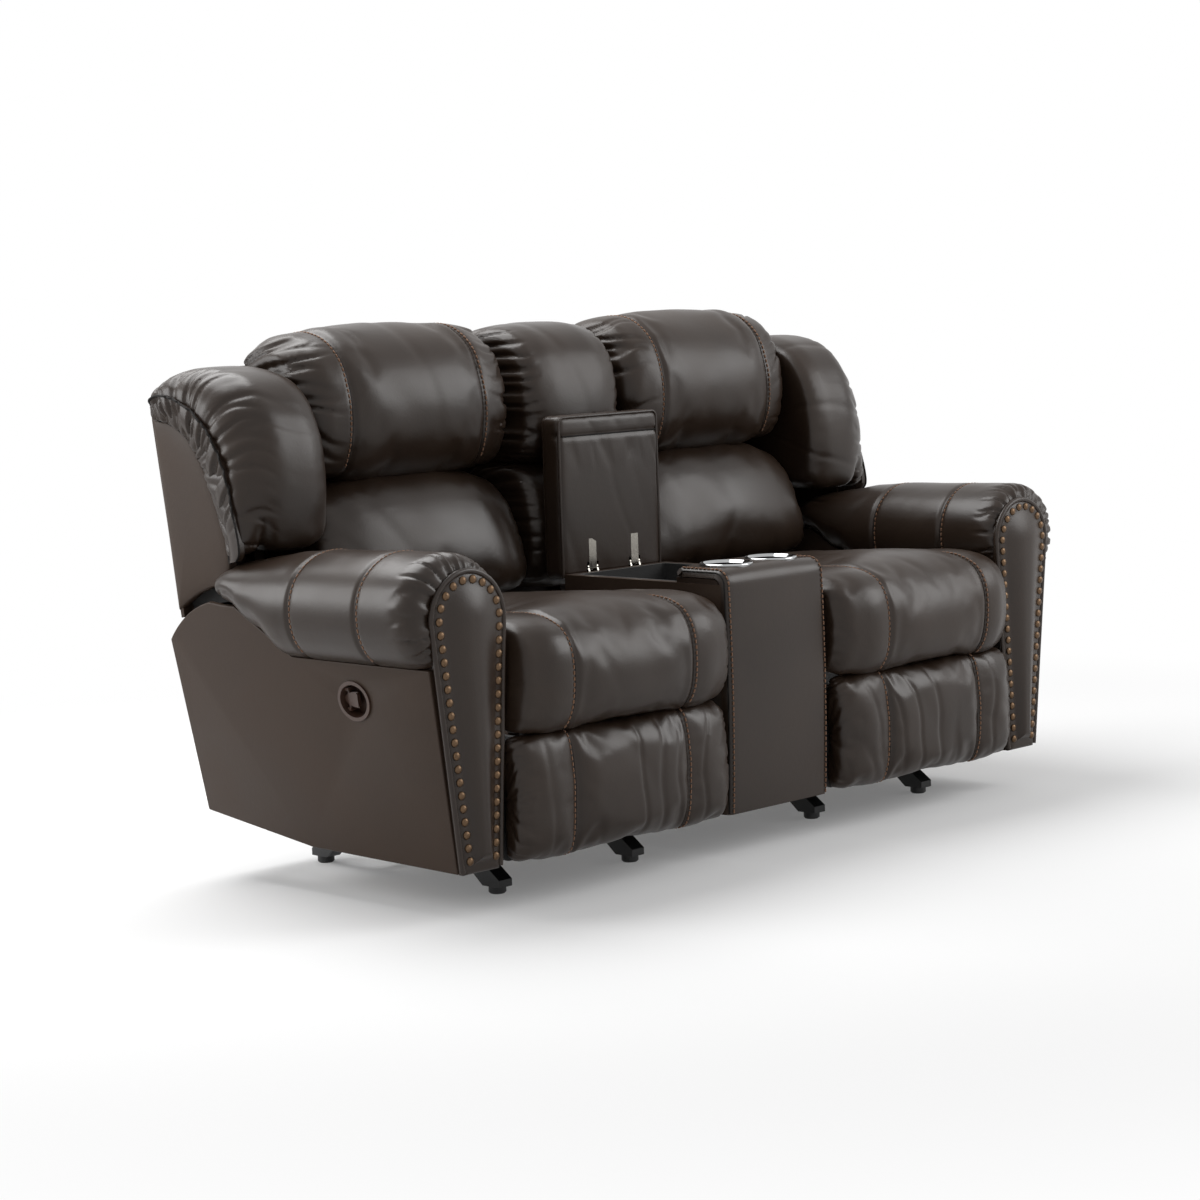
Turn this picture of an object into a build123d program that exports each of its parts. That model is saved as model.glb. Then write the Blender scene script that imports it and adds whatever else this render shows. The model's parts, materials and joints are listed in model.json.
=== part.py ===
from build123d import *
import os
from math import atan2, cos, degrees, hypot, radians, sin, sqrt, tan

os.makedirs("parts", exist_ok=True)

# Overall sizes in millimetres: +X is the viewer's right, the seats face -Y, the floor is Z = 0
WIDTH = 1940.0            # over the two arm rolls
DEPTH = 880.0             # seat fronts to the rear of the backs
HEIGHT = 1080.0           # floor to the top of the head pillows
CONSOLE_WIDTH = 300.0
ARM_HEIGHT = 674.0        # floor to the top of the arm rolls
SEAT_DECK = 388.0         # floor to the underside of the seat cushions
SEAT_CROWN = 153.0        # cushion height over the deck at its front edge
SEAT_OVERHANG = 60.0      # seat fronts ahead of the arm facings
BACK_REACH = 250.0        # recline pivot to the rear of the backs
PANEL_BOTTOM = 88.0       # floor to the hem of the arm and console panels

# Clearances
RUNNING = 0.1             # radial, pin in hole
REST_GAP = 0.3            # between pieces that rest on each other
SIDE_GAP = 5.0            # cushions to their side neighbours
SWEEP_GAP = 12.0          # wing to arm over the recline

# Arms
ARM_WIDTH = 203.0         # inner board to the outside of the roll
ROLL_HALF_WIDTH = 121.0
ROLL_HALF_HEIGHT = 108.0
ROLL_SEAT = 470.0         # floor to the board that the roll rests on
ROLL_DROP = 34.0          # fall of the roll's top at its rear end
BOARD = 15.0
PANEL = 12.0
FACING = 18.0
FACING_ARCH = 86.0
FACING_FOOT = 87.0        # width at the hem
WELT = 5.0
POST = 32.0
ARM_RAIL = 32.0           # height of the rails between the posts
HANDLE_BAY = 150.0        # between the two posts beside the handle

# Padding
PAD_CHORDS = 4            # chords to each bow of a pad's outline
FLATNESS = 0.000001       # how far a quad's fourth corner may lie off the plane of the other three
CHANNEL_RUN = 26.0        # half width of the channel at a sewn seam
CHANNEL_PULL = 0.035      # how far the seam draws the pad in

# Recline
RECLINE_DROP = 88.0       # deck to the recline pivot
SHOULDER = 268.0          # arm shoulder's radius about the recline pivot
SHELL_SWEEP = 292.0       # shell hem's radius about the same pivot
SHELL_EDGE = 278.0        # radius of the shells' lower edge behind the arms
SHELL_CORNER = 80.0       # rounding of the shells' upper outside corners
FRAME_CORNER = 60.0       # the same on the frames inside them
LEAN = 9.5                # backs' lean in degrees
LEAN_Z = 480.0
BACK_BOARD = 28.0
SHELL = 10.0
HEAD_HEIGHT = 310.0
LUMBAR_RISE = 117.0       # deck to the underside of the lumbar cushion
REAR_RAIL_GAP = 21.4      # rear of the centre back to the rear rail
BACK_INSET = 18.0         # reclining backs to the console's sides

# Rocker base
RAIL_SPACING = 362.0
BASE_LENGTH = 548.0
RAIL_WIDTH = 34.0
RAIL_WALL = 3.0
RAIL_TOP = 72.0
RAIL_BOTTOM = 42.0
GLIDE = 14.0
GLIDE_RADIUS = 17.0
ROCK_Z = 400.0
ROCK_SET = 165.0          # recline pivot to the rocking axis
CAM_ANGLE = 30.0
CAM_WIDTH = 30.0
CAM_TOP = 150.0
BASE_TUBE = 12.0
TUBE_WALL = 2.0
MECH_TUBE = 30.0
SPRING_RADIUS = 13.0
SPRING_SPREAD = 180.0

# Mechanism plates and footrest links
PLATE = 4.0
PLATE_GAP = 22.0          # plate to arm board or console side
LAYER_GAP = 1.0
LINK_WIDTH = 24.0
PIN = 5.0
BACK_PIN = 8.0
LINK_LENGTH = 236.0
LINK_START = -119.0       # stowed angle of the swing links, forwards = 0
CARRIER_LENGTH = 252.0
CARRIER_RISE = 30.0       # angle of the carriers, which stay parallel
SWING_BASE = (65.0, 5.0)  # front swing pivot to the rear one: back, up
CONTROL_RISE = 53.0       # elbow to the control link's pivot
SWING_SET = 158.0         # front swing pivot behind the facings
SWING_DROP = 71.0         # deck to the front swing pivot
LINK_CLEAR = 20.6         # rear swing links to the front mechanism tube
SEAT_TRAVEL = 40.0
RUNNER_DROP = 26.0        # deck to the seat runners' pins
RUNNER_PIN = 6.0

# Console
CONSOLE_LENGTH = 440.0
CONSOLE_RIM = 545.0
CONSOLE_WALL = 18.0
TOP_LENGTH = 128.0
TOP_PAD = 27.0
CUP_RADIUS = 43.5
CUP_RING = 53.5
CUP_LIP = 8.0             # ring's height over the padded top
CUP_DEPTH = 75.0
CUP_WALL = 1.5
CUP_SPACING = 134.0
CUP_SET = 66.0
BIN_DEPTH = 215.0
BIN_WALL = 6.0
LID_THICK = 58.0
LID_AXIS_SET = 10.0       # lid axis behind the console's rear wall
LID_AXIS_RISE = 8.0       # lid axis above the rim
LID_LIFT = 3.0            # closed lid's underside above the rim
LID_TAIL = 20.0           # lid past its axis
HINGE_SPACING = 126.0
HINGE_WIDTH = 30.0
LEAF = 2.0
KNUCKLE = 7.0
HINGE_PIN = 3.5

# Paddle handles
HANDLE_SET = 235.0
HANDLE_RISE = 309.0       # above the panel's hem
BEZEL = (44.0, 38.0)
RECESS = (37.0, 31.0)
RECESS_DEPTH = 28.0
CUP_SHELL = 2.0
PADDLE = 4.0
PADDLE_AXIS = 24.0        # handle's centre to the paddle's pin
PADDLE_SINK = 9.0         # panel's face to the pin
PADDLE_PIN = 2.5
EAR_SPREAD = 38.0

# Places worked out from the sizes above
arm_front = -DEPTH / 2 + SEAT_OVERHANG
pivot_y = DEPTH / 2 - BACK_REACH
console_half = CONSOLE_WIDTH / 2
arm_inner = WIDTH / 2 - ARM_WIDTH
seat_x = (arm_inner + console_half) / 2
seat_half = (arm_inner - console_half) / 2
plate_in = seat_half - PLATE_GAP - PLATE
layer = PLATE + LAYER_GAP
roll_x = WIDTH / 2 - ROLL_HALF_WIDTH
roll_z = ARM_HEIGHT - ROLL_HALF_HEIGHT
rock_y = pivot_y - ROCK_SET
recline_z = SEAT_DECK - RECLINE_DROP
runner_z = SEAT_DECK - RUNNER_DROP
swing_z = SEAT_DECK - SWING_DROP
arm_rear = BACK_REACH - 87  # lower rear corner of an arm, behind the recline pivot
rail_half = BASE_LENGTH / 2
lean = radians(LEAN)
shell_top = HEIGHT - 95
shell_depth = (BACK_BOARD + REST_GAP + SHELL) * cos(lean)
frame_set = BACK_REACH - (shell_top - LEAN_Z) * tan(lean) - shell_depth
lumbar_bottom = SEAT_DECK + LUMBAR_RISE
lumbar_top = HEIGHT - HEAD_HEIGHT - SIDE_GAP
frame_half = plate_in - 6.5
frame_bottom = recline_z + 35
frame_top = HEIGHT - 80
back_in = console_half + BACK_INSET
back_out = arm_inner - ROLL_HALF_WIDTH / 2 + 10
wing_sweep = ARM_HEIGHT - ROLL_DROP - recline_z + SWEEP_GAP + 4
wing_top = HEIGHT - 75
shell_side = arm_inner + 126
lid_y = arm_front + CONSOLE_LENGTH + LID_AXIS_SET
lid_z = CONSOLE_RIM + LID_AXIS_RISE
SIDES = (("left", -1), ("right", 1))


def save(piece, label):
    piece.part.label = label
    export_step(piece.part, f"parts/{label}.step")


def frame_front(z):
    return pivot_y + frame_set + (z - LEAN_Z) * tan(lean)


def above_pivot(radius):
    # Height over the recline pivot at which the shells' inner face lies that far from it
    slope = tan(lean)
    set_back = frame_front(recline_z) - pivot_y + BACK_BOARD / cos(lean)
    return (sqrt(radius ** 2 * (1 + slope ** 2) - set_back ** 2) - set_back * slope) / (1 + slope ** 2)


def outer_corner(s):
    # Upper outside corner of the sketch in hand
    return max(vertices(), key=lambda corner: (round(s * corner.X), corner.Y))


def lean_plane(setback=0.0):
    origin = (0, frame_front(LEAN_Z), LEAN_Z)
    return Plane(origin=origin, x_dir=(1, 0, 0), z_dir=(0, -cos(lean), sin(lean))).offset(-setback)


def along(z):
    return (z - LEAN_Z) / cos(lean)


def slab(x0, x1, low, high, corner=0.0):
    with Locations(((x0 + x1) / 2, (low + high) / 2)):
        if corner:
            RectangleRounded(abs(x1 - x0), high - low, corner)
        else:
            Rectangle(abs(x1 - x0), high - low)


def bowed(points):
    # Outline of a pad: each point carries the bulge of the bow that leaves it, drawn in a few chords
    corners = []
    for (ax, ay, bulge), (bx, by, _) in zip(points, points[1:] + points[:1]):
        run = hypot(bx - ax, by - ay)
        for number in range(PAD_CHORDS if bulge else 1):
            share = number / PAD_CHORDS
            rise = 4 * share * (1 - share) * bulge / run
            x = ax + (bx - ax) * share + rise * (by - ay)
            y = ay + (by - ay) * share - rise * (bx - ax)
            corners.append((x, y))
    return corners


def flat(corners):
    return Face(Wire.make_polygon(corners, close=True))


def skin(rings):
    # Closed pad through rings of corners: a flat quad where its corners allow one, else two triangles
    faces = [flat(rings[0]), flat(rings[-1])]
    for near, far in zip(rings, rings[1:]):
        for number in range(len(near)):
            a, b, c, d = near[number - 1], near[number], far[number], far[number - 1]
            normal = (Vector(b) - Vector(a)).cross(Vector(c) - Vector(a)).normalized()
            if abs(normal.dot(Vector(d) - Vector(a))) < FLATNESS:
                faces.append(flat([a, b, c, d]))
            else:
                faces += [flat([a, b, c]), flat([a, c, d])]
    add(Solid(Shell(faces)))


def drawn_in(points, base, pull):
    # Outline pulled towards the point that the pad rests on
    shrink = 1 - pull
    moved = [(base[0] + (x - base[0]) * shrink, base[1] + (y - base[1]) * shrink) for x, y, _ in points]
    return [(x, y, bulge * shrink) for (x, y), (_, _, bulge) in zip(moved, points)]


def pad_stations(centre, half, seams, pulls, step):
    # Ends drawn in, a shallow channel at each seam, full panels between
    ends = [(half - number * step, pull) for number, pull in enumerate(pulls)]
    stations = [(centre - reach, pull) for reach, pull in ends]
    for seam in seams:
        place = centre + seam
        stations += [(place - CHANNEL_RUN, 0.0), (place, CHANNEL_PULL), (place + CHANNEL_RUN, 0.0)]
    return stations + [(centre + reach, pull) for reach, pull in reversed(ends)]


def pad(label, stations, outline, base):
    with BuildPart() as cushion:
        skin([[(x, y, z) for y, z in bowed(drawn_in(outline, base, pull))] for x, pull in stations])
    save(cushion, label)


def forwards(point, angle, length):
    return (point[0] - length * cos(radians(angle)), point[1] + length * sin(radians(angle)))


# Footrest pivots with the footrest stowed, as (Y, Z)
swing = (arm_front + SWING_SET, swing_z)
rear_swing = (swing[0] + SWING_BASE[0], swing[1] + SWING_BASE[1])
elbow = forwards(swing, LINK_START, LINK_LENGTH)
knee = (elbow[0] + SWING_BASE[0], elbow[1] + SWING_BASE[1])
tip = forwards(elbow, CARRIER_RISE, CARRIER_LENGTH)
control = (elbow[0], elbow[1] + CONTROL_RISE)
control_tip = (tip[0], tip[1] + CONTROL_RISE)
runner_pins = (swing[0] + 50, pivot_y - 120)

# Rocker bases
rail_xs = [s * seat_x + t * RAIL_SPACING / 2 for _, s in SIDES for t in (-1, 1)]
front_tube_y = knee[0] + LINK_WIDTH / 2 + LINK_CLEAR + MECH_TUBE / 2
mech_tube_ys = (front_tube_y, rock_y + ROCK_SET - 30)
base_tube_ys = (rock_y - 135, mech_tube_ys[1])
foot_run = 46.0
foot_slope = 34.0

with BuildPart() as base_rails:
    for x in rail_xs:
        with BuildSketch(Plane.YZ.offset(x - RAIL_WIDTH / 2)):
            with Locations((rock_y, 0)):
                Polygon(
                    (-rail_half, GLIDE),
                    (-rail_half + foot_run, GLIDE),
                    (-rail_half + foot_run + foot_slope, RAIL_BOTTOM),
                    (rail_half - foot_run - foot_slope, RAIL_BOTTOM),
                    (rail_half - foot_run, GLIDE),
                    (rail_half, GLIDE),
                    (rail_half, GLIDE * 2),
                    (rail_half - foot_run - foot_slope / 2, RAIL_TOP),
                    (-rail_half + foot_run + foot_slope / 2, RAIL_TOP),
                    (-rail_half, GLIDE * 2),
                    align=None,
                )
        extrude(amount=RAIL_WIDTH)
        channel = BASE_LENGTH - 2 * (foot_run + foot_slope + RAIL_WALL)
        with BuildSketch(Plane.YZ.offset(x - RAIL_WIDTH / 2 + RAIL_WALL)):
            slab(rock_y - channel / 2, rock_y + channel / 2, RAIL_BOTTOM - 1, RAIL_TOP - RAIL_WALL)
        extrude(amount=RAIL_WIDTH - 2 * RAIL_WALL, mode=Mode.SUBTRACT)
save(base_rails, "base_rails")

with BuildPart() as base_cross_tubes:
    for _, s in SIDES:
        start = s * seat_x - RAIL_SPACING / 2 + RAIL_WIDTH / 2
        with BuildSketch(Plane.YZ.offset(start)):
            with Locations([(y, RAIL_TOP - BASE_TUBE - RAIL_WALL) for y in base_tube_ys]):
                Circle(BASE_TUBE)
                Circle(BASE_TUBE - TUBE_WALL, mode=Mode.SUBTRACT)
        extrude(amount=RAIL_SPACING - RAIL_WIDTH)
save(base_cross_tubes, "base_cross_tubes")

with BuildPart() as base_glides:
    glide_ys = [rock_y + t * (rail_half - foot_run / 2) for t in (-1, 1)]
    with Locations([(x, y, GLIDE / 2) for x in rail_xs for y in glide_ys]):
        Cylinder(GLIDE_RADIUS, GLIDE)
    chamfer(base_glides.edges().group_by(Axis.Z)[0], 3)
save(base_glides, "base_glides")

spring_foot = RAIL_TOP - RAIL_WALL + REST_GAP
with BuildPart() as rocker_springs:
    spots = [(s * seat_x + t * SPRING_SPREAD / 2, base_tube_ys[1]) for _, s in SIDES for t in (-1, 1)]
    with BuildSketch(Plane.XY.offset(spring_foot)):
        with Locations(spots):
            Circle(SPRING_RADIUS)
    extrude(amount=CAM_TOP - REST_GAP - spring_foot)
save(rocker_springs, "rocker_springs")

# Rocking frame: cams rolling on the base rails, plates and tubes of the two mechanisms
cam_radius = ROCK_Z - RAIL_TOP - REST_GAP
cam_run = cam_radius * sin(radians(CAM_ANGLE))
cam_end = ROCK_Z - cam_radius * cos(radians(CAM_ANGLE))
with BuildPart() as rocker_cams:
    for x in rail_xs:
        with BuildSketch(Plane.YZ.offset(x - CAM_WIDTH / 2)):
            with BuildLine():
                front_end = (rock_y - cam_run, cam_end)
                rear_end = (rock_y + cam_run, cam_end)
                ThreePointArc(front_end, (rock_y, ROCK_Z - cam_radius), rear_end)
                Polyline(rear_end, (rear_end[0], CAM_TOP), (front_end[0], CAM_TOP), front_end)
            make_face()
        extrude(amount=CAM_WIDTH)
save(rocker_cams, "rocker_cams")

with BuildPart() as mechanism_tubes:
    for _, s in SIDES:
        with BuildSketch(Plane.YZ.offset(s * seat_x - plate_in)):
            with Locations([(y, CAM_TOP + MECH_TUBE / 2) for y in mech_tube_ys]):
                Rectangle(MECH_TUBE, MECH_TUBE)
                Rectangle(MECH_TUBE - 2 * TUBE_WALL, MECH_TUBE - 2 * TUBE_WALL, mode=Mode.SUBTRACT)
        extrude(amount=2 * plate_in)
save(mechanism_tubes, "mechanism_tubes")


with BuildPart() as mechanism_plates:
    for _, s in SIDES:
        for t in (-1, 1):
            inner = s * seat_x + t * plate_in
            face = Plane.YZ.offset(inner)
            with BuildSketch(face):
                with BuildLine():
                    FilletPolyline(
                        (swing[0] - 33, swing[1] - 20),
                        (swing[0] - 33, swing[1] + 18),
                        (swing[0] - 8, runner_z + 14),
                        (pivot_y - 90, runner_z + 14),
                        (pivot_y - 50, recline_z + 26),
                        (pivot_y + 22, recline_z + 22),
                        (pivot_y + 22, recline_z - 22),
                        (mech_tube_ys[1] + 25, recline_z - 40),
                        (mech_tube_ys[1] + 25, CAM_TOP - 10),
                        (mech_tube_ys[0] - 25, CAM_TOP - 10),
                        (mech_tube_ys[0] - 45, CAM_TOP + 80),
                        radius=9,
                        close=True,
                    )
                make_face()
                with Locations(((mech_tube_ys[0] + mech_tube_ys[1]) / 2, CAM_TOP + 105)):
                    SlotOverall(90, 34, mode=Mode.SUBTRACT)
            extrude(amount=t * PLATE)
            studs = (
                (swing, PIN, 3 * layer),
                (rear_swing, PIN, layer),
                ((pivot_y, recline_z), BACK_PIN, plate_in - frame_half),
                ((runner_pins[0], runner_z), RUNNER_PIN, 4 * layer + 8),
                ((runner_pins[1], runner_z), RUNNER_PIN, 4 * layer + 8),
            )
            for (y, z), radius, reach in studs:
                with BuildSketch(face):
                    with Locations((y, z)):
                        Circle(radius)
                extrude(amount=-t * reach)
            with BuildSketch(face.offset(t * PLATE)):
                with Locations((swing[0] + 140, recline_z + 10), (mech_tube_ys[0] + 10, CAM_TOP + 70)):
                    Rectangle(40, 30)
            extrude(amount=t * (PLATE_GAP - REST_GAP))
save(mechanism_plates, "mechanism_plates")

# Wooden rails that tie arms, console and centre back together
rail_low = PANEL_BOTTOM + 22
rail_high = rail_low + 80
rear_rail_y = frame_front(rail_high) + shell_depth / cos(lean) ** 2 + REAR_RAIL_GAP
with BuildPart() as frame_rails:
    rail_half_width = arm_inner - REST_GAP
    with BuildSketch(Plane.YZ.offset(-rail_half_width)):
        slab(rear_rail_y, rear_rail_y + 22, rail_low, rail_high)
    extrude(amount=2 * rail_half_width)
    for _, s in SIDES:
        with BuildSketch(Plane.YZ.offset(s * (console_half - 20))):
            slab(arm_front + CONSOLE_LENGTH + REST_GAP, rear_rail_y, rail_low, rail_high)
        extrude(amount=s * CONSOLE_WALL)
save(frame_rails, "frame_rails")


# Arms
arm_lean = 51.0 / (ROLL_SEAT - PANEL_BOTTOM)
arm_tilt = sqrt(1 + arm_lean ** 2)
panel_foot = arm_inner + 96
taper_start = pivot_y - 170
roll_level = pivot_y - 15
roll_rear = pivot_y + 20
arm_rail_low = PANEL_BOTTOM + 48
arm_rail_high = ROLL_SEAT - 24
facing_back = arm_front + FACING + REST_GAP


def roll_bottom(y):
    return ROLL_SEAT + max(0.0, min(y, roll_level) - taper_start) * 0.57


def arm_outline(place):
    # Side view of an arm below its roll, with the shoulder struck about the recline pivot
    def shoulder(angle):
        turn = radians(angle)
        return place(pivot_y + SHOULDER * sin(turn), recline_z + SHOULDER * cos(turn))

    Polyline(
        shoulder(48),
        place(pivot_y + arm_rear, PANEL_BOTTOM + 46),
        place(pivot_y - 146, PANEL_BOTTOM + 5),
        place(facing_back, PANEL_BOTTOM),
        place(facing_back, ROLL_SEAT - 1),
        place(taper_start, ROLL_SEAT - 1),
        place(roll_level, roll_bottom(roll_level) - 1),
        place(roll_rear + 2, roll_bottom(roll_level) - 1),
        shoulder(13),
    )
    ThreePointArc(shoulder(13), shoulder(30), shoulder(48))


def handle_plane(s, depth=0.0):
    # Outer face of the leaning side panel: local x runs forwards on the left arm and backwards on the right
    origin = (s * panel_foot, arm_front, PANEL_BOTTOM)
    face = Plane(origin=origin, x_dir=(0, s, 0), z_dir=(s / arm_tilt, 0, -arm_lean / arm_tilt))
    return face.offset(-depth)


def panel_inside(z):
    return panel_foot - PANEL * arm_tilt + (z - PANEL_BOTTOM) * arm_lean - REST_GAP


def upright(s, low, high):
    # Front view of an arm post or rail between the inner board and the leaning panel
    board_face = arm_inner + BOARD + REST_GAP
    Polyline(
        (s * board_face, low),
        (s * panel_inside(low), low),
        (s * panel_inside(high), high),
        (s * board_face, high),
        close=True,
    )


for side, s in SIDES:
    with BuildPart() as arm_panel:
        with BuildSketch(handle_plane(s)):
            with BuildLine():
                arm_outline(lambda y, z: (s * (y - arm_front), z - PANEL_BOTTOM))
            make_face()
            with Locations((s * HANDLE_SET, HANDLE_RISE)):
                Ellipse(*[half + CUP_SHELL + REST_GAP for half in RECESS], mode=Mode.SUBTRACT)
        extrude(amount=-PANEL)
    save(arm_panel, f"{side}_arm_panel")

    handle_y = arm_front + HANDLE_SET
    rear_post = pivot_y + 60
    post_ys = (facing_back, handle_y - HANDLE_BAY / 2 - POST, handle_y + HANDLE_BAY / 2)
    post_ys += ((handle_y + HANDLE_BAY / 2 + rear_post) / 2, rear_post)
    with BuildPart() as arm_frame:
        with BuildSketch(Plane.YZ.offset(s * arm_inner)):
            with BuildLine():
                arm_outline(lambda y, z: (y, z))
            make_face()
        extrude(amount=s * BOARD)
        for y in post_ys:
            with BuildSketch(Plane.XZ.offset(-y)):
                with BuildLine():
                    upright(s, arm_rail_low + ARM_RAIL + REST_GAP, arm_rail_high - REST_GAP)
                make_face()
            extrude(amount=-POST)
        for low, high in ((arm_rail_low, arm_rail_low + ARM_RAIL), (arm_rail_high, ROLL_SEAT - REST_GAP)):
            with BuildSketch(Plane.XZ.offset(-facing_back)):
                with BuildLine():
                    upright(s, low, high)
                make_face()
            extrude(amount=-(taper_start - facing_back))
    save(arm_frame, f"{side}_arm_frame")

    # Rolled arm: full at the front, a shallow channel at each cross seam, tapering up at the rear
    roll_run = taper_start - facing_back
    seams = (0.34, 0.8)
    stations = [(facing_back, 0, 0.07), (facing_back + 30, 0, 0.0)]
    for share in seams:
        seam = facing_back + roll_run * share
        stations += [(seam - 24, 2, 0.0), (seam, 3, 0.03), (seam + 24, 4, 0.0)]
    stations += [(taper_start, 14, 0.0), (pivot_y - 90, 24, 0.02), (roll_level, ROLL_DROP, 0.05)]
    stations += [(roll_rear, ROLL_DROP + 16, 0.2)]
    with BuildPart() as arm_roll:
        rings = []
        for y, drop, pull in stations:
            top = ARM_HEIGHT - drop
            low = roll_bottom(y)
            waist = roll_z + (low - ROLL_SEAT) * 0.45
            outline = [
                (-74.0, low, 0),
                (56.0, low, 13.0),
                (ROLL_HALF_WIDTH, waist, 0.21 * hypot(ROLL_HALF_WIDTH, top - waist)),
                (0.0, top, 0.21 * hypot(ROLL_HALF_WIDTH, top - waist)),
                (-ROLL_HALF_WIDTH, waist, 12.0),
            ]
            section = bowed(drawn_in(outline, (-9.0, low), pull))
            rings.append([(s * (roll_x + x), y, z) for x, z in section])
        skin(rings)
    save(arm_roll, f"{side}_arm_roll")

    # Arched facing, narrowing to its foot, with a round welt along its edge
    arch_x = arm_inner + 61
    spring_z = ARM_HEIGHT - 38 - FACING_ARCH
    foot_in = arm_inner + 6
    with BuildPart() as arm_facing:
        for grow, start, thick in ((0.0, 0.0, FACING), (WELT, 5.0, 2 * WELT)):
            with BuildSketch(Plane.XZ.offset(-(arm_front + start))) as front:
                with BuildLine():
                    Polyline(
                        (s * (arch_x - FACING_ARCH), spring_z),
                        (s * foot_in, PANEL_BOTTOM),
                        (s * (foot_in + FACING_FOOT), PANEL_BOTTOM),
                        (s * (arch_x + FACING_ARCH), spring_z),
                    )
                    ThreePointArc(
                        (s * (arch_x + FACING_ARCH), spring_z),
                        (s * arch_x, spring_z + FACING_ARCH),
                        (s * (arch_x - FACING_ARCH), spring_z),
                    )
                make_face()
                if grow:
                    offset(amount=grow)
            extrude(amount=-thick)
    save(arm_facing, f"{side}_arm_facing")


def paddle_axis(s):
    # Along the paddle's pin, towards the rear of the recess
    face = handle_plane(s)
    spot = face.from_local_coords(Vector(s * (HANDLE_SET + PADDLE_AXIS), HANDLE_RISE, -PADDLE_SINK))
    return Plane(origin=spot, x_dir=face.x_dir, z_dir=face.y_dir)


def pin_bar(s, radius, reach, mode=Mode.ADD):
    with BuildSketch(paddle_axis(s).offset(-reach)) as end:
        Circle(radius)
    extrude(end.sketch, amount=2 * reach, mode=mode)


with BuildPart() as handle_bezels:
    for _, s in SIDES:
        handle = (s * HANDLE_SET, HANDLE_RISE)
        with BuildSketch(handle_plane(s, -REST_GAP)):
            with Locations(handle):
                Ellipse(*BEZEL)
        extrude(amount=3)
        with BuildSketch(handle_plane(s, -REST_GAP)):
            with Locations(handle):
                Ellipse(RECESS[0] + CUP_SHELL, RECESS[1] + CUP_SHELL)
        extrude(amount=-RECESS_DEPTH)
        floor_depth = RECESS_DEPTH - CUP_SHELL - REST_GAP
        with BuildSketch(handle_plane(s, floor_depth)):
            with Locations(handle):
                Ellipse(*RECESS)
        extrude(amount=RECESS_DEPTH + 10, mode=Mode.SUBTRACT)
        # Ears that hold the paddle's pin
        with BuildSketch(handle_plane(s, floor_depth)):
            ear_x = s * (HANDLE_SET + PADDLE_AXIS)
            with Locations([(ear_x, HANDLE_RISE + t * EAR_SPREAD / 2) for t in (-1, 1)]):
                Rectangle(9, 6)
        extrude(amount=floor_depth - PADDLE_SINK + 4.5)
        pin_bar(s, PADDLE_PIN + RUNNING, EAR_SPREAD / 2 + 3, Mode.SUBTRACT)
save(handle_bezels, "handle_bezels")

for side, s in SIDES:
    with BuildPart() as paddle:
        # Rear half of the oval, with a raised lip at its free edge
        paddle_high = EAR_SPREAD / 2 - 4
        with BuildSketch(handle_plane(s, PADDLE_SINK + PADDLE / 2)):
            with Locations((s * HANDLE_SET, HANDLE_RISE)):
                Ellipse(RECESS[0] - 2, paddle_high)
            with Locations((s * (HANDLE_SET - RECESS[0] / 2 - 3), HANDLE_RISE)):
                Rectangle(RECESS[0], 3 * paddle_high, mode=Mode.SUBTRACT)
        extrude(amount=PADDLE)
        with BuildSketch(handle_plane(s, PADDLE_SINK + PADDLE / 2)):
            with Locations((s * HANDLE_SET, HANDLE_RISE)):
                SlotOverall(2 * paddle_high - 3, 8, rotation=90)
        extrude(amount=PADDLE + 3)
        pin_bar(s, PADDLE_PIN, EAR_SPREAD / 2 + 3 - REST_GAP)
    save(paddle, f"{side}_paddle")

# Console: upholstered box with a lined bin, a padded top with two cup holders, and a lid on two hinges
console_rear = arm_front + CONSOLE_LENGTH
cup_spots = [(t * CUP_SPACING / 2, arm_front + CUP_SET) for t in (-1, 1)]
with BuildPart() as console_body:
    with BuildSketch(Plane.XY.offset(PANEL_BOTTOM)):
        slab(-console_half, console_half, arm_front, console_rear)
    extrude(amount=CONSOLE_RIM - PANEL_BOTTOM)
    fillet(console_body.edges().filter_by(Axis.Z).group_by(Axis.Y)[0], CONSOLE_WALL - 4)
    with BuildSketch(Plane.XY.offset(PANEL_BOTTOM)):
        inside = console_half - CONSOLE_WALL
        slab(-inside, inside, arm_front + CONSOLE_WALL, console_rear - CONSOLE_WALL)
    extrude(amount=CONSOLE_RIM, mode=Mode.SUBTRACT)
save(console_body, "console_body")

with BuildPart() as console_bin:
    bin_half = console_half - CONSOLE_WALL - REST_GAP
    bin_front = arm_front + TOP_LENGTH - 8
    bin_rear = console_rear - CONSOLE_WALL - REST_GAP
    with BuildSketch(Plane.XY.offset(CONSOLE_RIM - BIN_DEPTH)):
        slab(-bin_half, bin_half, bin_front, bin_rear)
    extrude(amount=BIN_DEPTH)
    with BuildSketch(Plane.XY.offset(CONSOLE_RIM - BIN_DEPTH + BIN_WALL)):
        slab(-bin_half + BIN_WALL, bin_half - BIN_WALL, bin_front + BIN_WALL, bin_rear - BIN_WALL, 12)
    extrude(amount=BIN_DEPTH, mode=Mode.SUBTRACT)
save(console_bin, "console_bin")

with BuildPart() as console_top:
    with BuildSketch(Plane.XY.offset(CONSOLE_RIM + REST_GAP)):
        slab(-console_half - 2, console_half + 2, arm_front - 2, arm_front + TOP_LENGTH)
    extrude(amount=TOP_PAD)
    fillet(console_top.edges().group_by(Axis.Z)[-1], 9)
    with BuildSketch(Plane.XY.offset(CONSOLE_RIM)):
        with Locations(cup_spots):
            Circle(CUP_RADIUS + REST_GAP)
    extrude(amount=TOP_PAD * 2, mode=Mode.SUBTRACT)
save(console_top, "console_top")

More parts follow.
